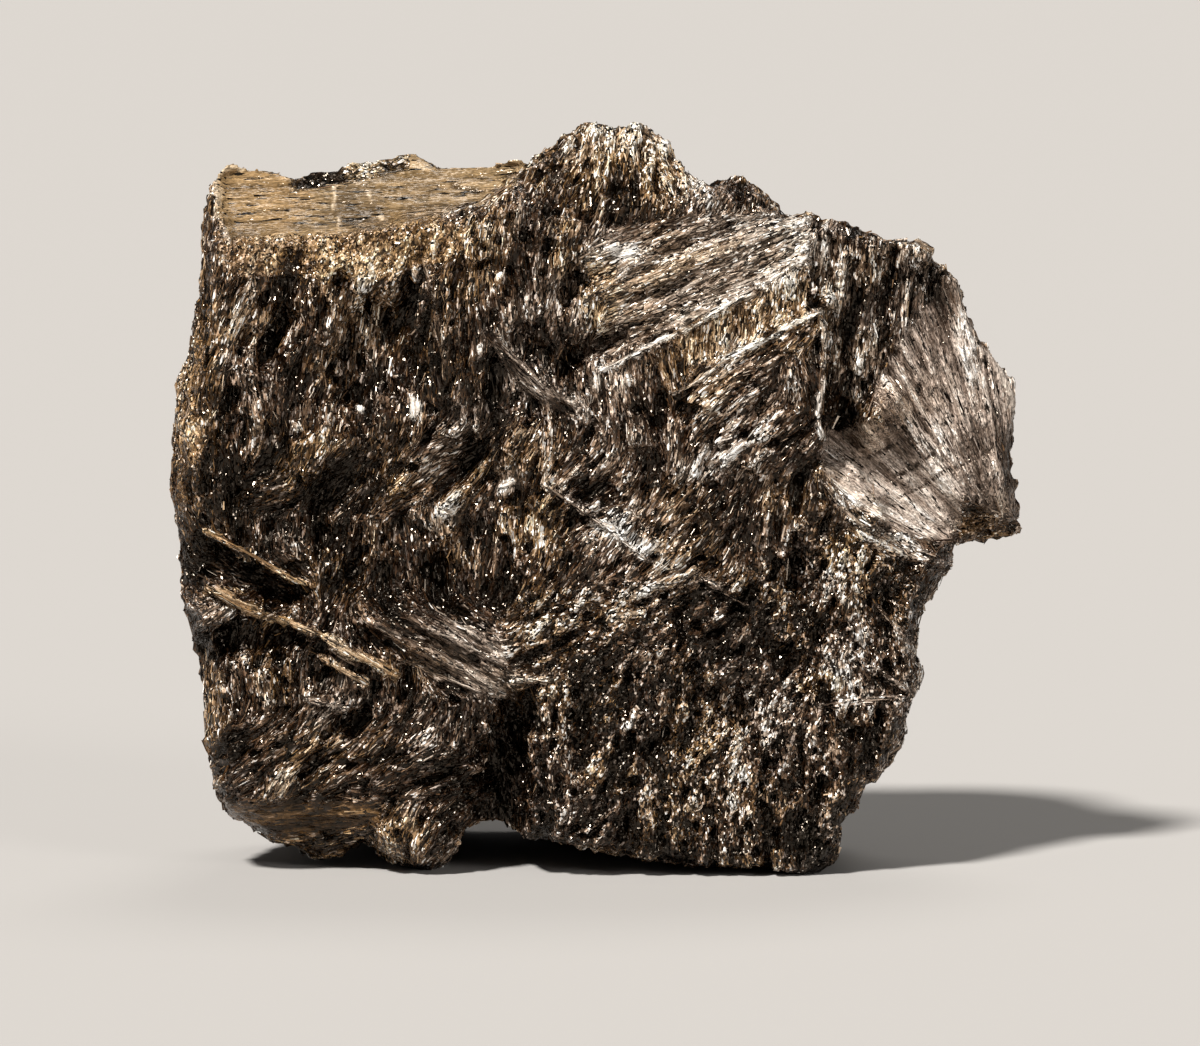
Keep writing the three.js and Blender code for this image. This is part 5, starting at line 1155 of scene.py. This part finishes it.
class Graph:
    """A material's nodes. Most of its calls add a node and give that node's output."""

    def __init__(self, name):
        self.material = bpy.data.materials.new(name)
        self.material.use_nodes = True
        self.nodes = self.material.node_tree.nodes
        self.shader = self.nodes["Principled BSDF"]
        self.finish("Specular IOR Level", SPECULAR_LEVEL)
        self.finish("Specular Tint", SPECULAR_TINT)

    def feed(self, socket, value):
        """Gives a socket a number, a vector or the output of another node."""
        if isinstance(value, (float, tuple)):
            socket.default_value = value
        else:
            self.material.node_tree.links.new(value, socket)

    def finish(self, name, value):
        self.feed(self.shader.inputs[name], value)

    def add(self, kind, sockets=(), **settings):
        node = self.nodes.new("ShaderNode" + kind)
        for name, setting in settings.items():
            setattr(node, name, setting)
        for socket, value in dict(sockets).items():
            self.feed(node.inputs[socket], value)
        return node

    def attribute(self, name, output):
        return self.add("Attribute", attribute_name=name).outputs[output]

    def place(self):
        return self.add("TexCoord").outputs["Object"]

    def tint(self):
        return self.add("VertexColor", layer_name="tint").outputs["Color"]

    def part(self, colour, name):
        return self.add("SeparateColor", {"Color": colour}).outputs[name]

    def math(self, operation, first, second):
        return self.add("Math", {0: first, 1: second}, operation=operation).outputs["Value"]

    def vector(self, operation, first, second=None):
        """Vector arithmetic. The second value is a number for SCALE."""
        sockets = {0: first}
        if second is not None:
            sockets["Scale" if operation == "SCALE" else 1] = second
        node = self.add("VectorMath", sockets, operation=operation)
        return node.outputs["Value" if operation == "DOT_PRODUCT" else "Vector"]

    def spread(self, value, start, end):
        """A value between two bounds spread over another range."""
        bounds = {"From Min": start[0], "From Max": start[1], "To Min": end[0], "To Max": end[1]}
        return self.add("MapRange", {**bounds, "Value": value}).outputs["Result"]

    def mixed(self, factor, first, second):
        """The first colour where the factor is 0, the second where it is 1."""
        first_in, second_in, out = MIX_SOCKETS
        sockets = {"Factor": factor, first_in: first, second_in: second}
        return self.add("Mix", sockets, data_type="RGBA").outputs[out]


MIDDLE = (0.5, 0.5, 0.5)  # the mean of a random colour
WHOLE = (0.0, 1.0)


def fibre_place(graph, width, length):
    """Places counted in grains, spread across the fibres and drawn out along them."""
    place, run = graph.place(), graph.attribute("fibre", "Vector")
    along = graph.vector("DOT_PRODUCT", place, run)
    stretch = graph.math("MULTIPLY", along, 1 / length - 1 / width)
    drawn = graph.vector("SCALE", run, stretch)
    return graph.vector("ADD", graph.vector("SCALE", place, 1 / width), drawn)


def grain_cells(graph):
    """A random colour for each small grain, and its shade, with painted shade towards its edge and
    painted glints on the brightest grains.
    """
    place = fibre_place(graph, *GRAIN)
    waver = graph.add("TexNoise", {"Scale": GRAIN_WAVE, "Vector": place}).outputs["Color"]
    stray = graph.vector("SCALE", graph.vector("SUBTRACT", waver, MIDDLE), 2 * GRAIN_WAVER)
    place = graph.vector("ADD", place, stray)
    cell, edge = (graph.add("TexVoronoi", {"Scale": 1.0, "Vector": place}, feature=feature)
                  for feature in ("F1", "DISTANCE_TO_EDGE"))
    colour = cell.outputs["Color"]
    shades = graph.add("FloatCurve", {"Value": graph.part(colour, "Red")})
    curve = shades.mapping.curves[0]
    top = GRAIN_SHADES[-1][1]
    curve.points[0].location = (0.0, GRAIN_SHADES[0][1] / top)
    curve.points[1].location = (1.0, 1.0)
    for share, shade in GRAIN_SHADES[1:-1]:
        curve.points.new(share, shade / top)
    gap = graph.spread(edge.outputs["Distance"], (0.0, GRAIN_GAP), (GRAIN_GAP_PAINTED_SHADE, top))
    return colour, graph.math("MULTIPLY", shades.outputs["Value"], gap)


def fine_lines(graph):
    """A random colour for each fine line, and its shade."""
    place = fibre_place(graph, *LINE)
    noise = graph.add("TexNoise", {"Scale": 1.0, "Detail": 1.0, "Vector": place})
    return noise.outputs["Color"], graph.spread(noise.outputs["Fac"], LINE_NOISE, LINE_SHADES)


def paled(graph, tint, shade):
    """The tint at a shade. A bright grain is paler than a dark one, since the brightest grains are
    painted glints.
    """
    pale = graph.vector("SCALE", PALE_HUE, graph.vector("DOT_PRODUCT", tint, LIGHTNESS))
    factor = graph.spread(shade, PALING[:2], (0.0, PALING[2]))
    hue = graph.mixed(factor, tint, pale)
    return graph.vector("MINIMUM", graph.vector("SCALE", hue, shade), BRIGHTEST)


def mass_material():
    graph = Graph("anthophyllite_mass")
    speckle, lined = graph.attribute("speckle", "Fac"), graph.attribute("lined", "Fac")
    line_colour, line_shade = fine_lines(graph)
    grain_colour, grain_shade = grain_cells(graph)
    colour = graph.mixed(speckle, line_colour, grain_colour)
    grain_shade = graph.math("POWER", grain_shade, speckle)
    line_shade = graph.math("POWER", line_shade, lined)
    shade = graph.math("MULTIPLY", grain_shade, line_shade)
    graph.finish("Base Color", paled(graph, graph.tint(), shade))
    graph.finish("Roughness", graph.spread(graph.part(colour, "Green"), WHOLE, GLOSS))
    tilt = graph.vector("SCALE", graph.vector("SUBTRACT", colour, MIDDLE), GRAIN_TILT)
    normal = graph.vector("ADD", graph.add("NewGeometry").outputs["Normal"], tilt)
    graph.finish("Normal", graph.vector("NORMALIZE", normal))
    return graph.material


def splinter_material():
    graph = Graph("anthophyllite_crystals")
    place = graph.place()
    noise = graph.add("TexNoise", {"Scale": CRYSTAL_UNEVEN, "Vector": place}).outputs["Fac"]
    shade = graph.spread(noise, CRYSTAL_NOISE, CRYSTAL_SHADES)
    raised = graph.vector("SCALE", graph.tint(), shade)
    graph.finish("Base Color", graph.vector("MINIMUM", raised, BRIGHTEST))
    graph.finish("Roughness", graph.spread(noise, CRYSTAL_NOISE, GLOSS))
    return graph.material


# The specimen

SHEET_MARGIN = 0.01


def sheet_corners(across, up, quads):
    """Corners on the bake sheet of squares that are laid flat by two coordinates."""
    flat = np.stack([across, up], axis=-1)
    flat = flat[quads] if flat.ndim == 2 else flat
    low, high = flat.min(axis=(0, 1)), flat.max(axis=(0, 1))
    return (flat - low) / (high - low) * (1 - 2 * SHEET_MARGIN) + SHEET_MARGIN


def rest_corners(points, quads, facing):
    """The back, the two ends, and the top and base, each on its own quarter of the sheet."""
    x, y, z = points.T
    strong = np.argmax(np.abs(facing), axis=1)
    corners = np.zeros((len(quads), 4, 2))
    for axis, across, up, place in ((0, y, z, (0.5, 0.0)), (1, x, z, (0.0, 0.0)),
                                    (2, x, y, (0.0, 0.5))):
        chosen = strong == axis
        corners[chosen] = sheet_corners(across, up, quads[chosen]) * 0.5 + place
    return corners.reshape(-1, 2)


FRONT_SPLIT, SPLIT_BAND = 46.0, 4.0  # v that parts the upper slivers from the lower
LOWEST = 0.8  # no small crystal starts below this height


def part_of_mesh(name, points, colours, quads, corners, material):
    """A piece from some squares of the whole mesh."""
    used, where = np.unique(quads, return_inverse=True)
    faces = where.reshape(quads.shape).tolist()
    return new_piece(name, points[used], faces, colours[used], corners, material)


def build_mass(material):
    points, quads = remeshed(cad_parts[MASS_NODE])
    points = eased(points, quads, EASING)
    normals = vertex_normals(points, quads)
    seen = -normals[:, 1] > CUT_FROM
    cut = Cut(len(points), quads, seen[quads].any(axis=1))
    points, normals = cut.spread(points), unit(cut.spread(normals))
    looks = looks_at(points, normals)
    moved = cut.close(displaced(points, normals, looks.relief))
    colours = toned(looks.bright, looks.weights)
    height = points[cut.fine].mean(axis=1)[:, 2]
    band = np.searchsorted(np.quantile(height, (1 / 3, 2 / 3)), height)
    v = picture_v(moved)
    pieces = []
    for index, name in enumerate(("front_lower", "front_middle", "front_upper")):
        fine = cut.fine[band == index]
        corners = sheet_corners(moved[:, 0], v, fine)
        pieces.append(part_of_mesh(name, moved, colours, fine, corners, material))
    surface = Surface(moved, np.concatenate([cut.fine, cut.rest]))
    facing = surface.facing[len(cut.fine):]
    pieces.append(part_of_mesh("sides_and_back", moved, colours, cut.rest,
                               rest_corners(moved, cut.rest, facing), material))
    run = rounded_run(surface.middle, surface.facing)
    band = np.concatenate([band, np.full(len(cut.rest), len(pieces) - 1)])
    for index, piece in enumerate(pieces):
        chosen = band == index
        used = np.unique(surface.quads[chosen])
        for key in ("speckle", "lined"):
            layer = piece.data.attributes.new(key, "FLOAT", "POINT")
            layer.data.foreach_set("value", getattr(looks, key)[used])
        layer = piece.data.attributes.new("fibre", "FLOAT_VECTOR", "FACE")
        layer.data.foreach_set("vector", run[chosen].ravel())
        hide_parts(MASS_NODE)
    return surface


def build_splinters(surface, material):
    middle, facing = surface.middle, surface.facing
    v = picture_v(middle)
    front, behind = front_share(facing), back_share(facing)
    dense = sampled(zoned("density", 0) * FRONT["bare"], middle[:, 0], v)
    density = 1 + (dense - 1) * front
    density = density * (middle[:, 2] > LOWEST)
    upper = smooth((v - FRONT_SPLIT) / SPLIT_BAND + 0.5)
    side = (1 - front) * (1 - behind)
    for name, weight, count, size, long in (
            ("splinters_front", density * front, 9000, 1.2, True),
            ("slivers_upper", density * front * upper, 16000, 1.0, False),
            ("slivers_lower", density * front * (1 - upper), 16000, 1.0, False),
            ("splinters_sides", density * (side + behind), 6000, 1.9, True),
            ("slivers_back", density * (behind + side), 12000, 1.5, False)):
        splinters(name, surface, weight, count, size, long, material)


# Camera, light and floor

CAMERA_DISTANCE = 1.2  # in metres
PICTURE_WIDTH = 144.0  # width of the picture at the specimen
SENSOR_WIDTH = 36.0
PICTURE_CENTRE = (0.48, 42.84)  # x and v in the middle of the picture


def aimed(thing, way, axis):
    """Turns an object so that one of its axes points a way."""
    thing.rotation_mode = "QUATERNION"
    thing.rotation_quaternion = Vector(way).to_track_quat(axis, "Y")


def build_camera():
    data = bpy.data.cameras.new("camera")
    data.sensor_width = SENSOR_WIDTH
    data.lens = SENSOR_WIDTH * CAMERA_DISTANCE / (PICTURE_WIDTH * MM)
    data.clip_start, data.clip_end = 0.05, 100.0
    camera = linked("camera", data)
    x, v = PICTURE_CENTRE
    z = v / math.cos(VIEW_TILT) + FOOT_DEPTH * math.tan(VIEW_TILT) - FOOT_WEAR
    aim = np.array([x, -MIDDLE_DEPTH, z]) * MM
    camera.location = aim - PICTURE_AWAY * CAMERA_DISTANCE
    aimed(camera, PICTURE_AWAY, "-Z")
    bpy.context.scene.camera = camera


LIGHTS = [
    # name, direction that it comes from, strength, angle in degrees, colour
    ("key", (-0.42, -0.62, 1.0), 6.35, 8, (1.0, 0.985, 0.96)),
    ("fill", (0.9, -0.9, 0.5), 0.8, 20, (1.0, 0.99, 0.97)),
    ("top", (0.15, 0.55, 1.0), 0.8, 24, (1.0, 0.99, 0.97)),
]
WORLD_STRENGTH = 0.11


def build_lights():
    for name, source, strength, angle, colour in LIGHTS:
        data = bpy.data.lights.new(name, "SUN")
        data.energy = strength
        data.angle = math.radians(angle)
        data.color = colour
        aimed(linked(name, data), source, "Z")
    world = bpy.data.worlds.new("studio")
    world.use_nodes = True
    background = world.node_tree.nodes["Background"]
    background.inputs["Color"].default_value = (1, 1, 1, 1)
    background.inputs["Strength"].default_value = WORLD_STRENGTH
    bpy.context.scene.world = world
    bpy.context.scene.view_settings.view_transform = "Standard"


FLOOR_HALF = 20.0  # half its side, in metres
FLOOR_COLOUR = (0.36, 0.345, 0.33, 1)
FLOOR_ROUGHNESS = 0.8


def build_floor():
    mesh = bpy.data.meshes.new("floor")
    corners = [(-1, -1), (1, -1), (1, 1), (-1, 1)]
    mesh.from_pydata([(x * FLOOR_HALF, y * FLOOR_HALF, 0) for x, y in corners], [], [[0, 1, 2, 3]])
    graph = Graph("floor")
    graph.finish("Base Color", FLOOR_COLOUR)
    graph.finish("Roughness", FLOOR_ROUGHNESS)
    mesh.materials.append(graph.material)
    linked("floor", mesh)


build_camera()
build_lights()
build_floor()
SURFACE = build_mass(mass_material())
CRYSTAL = splinter_material()
build_splinters(SURFACE, CRYSTAL)
laths(SURFACE, CRYSTAL)


def plain(box):
    return [list(corner) for corner in box]
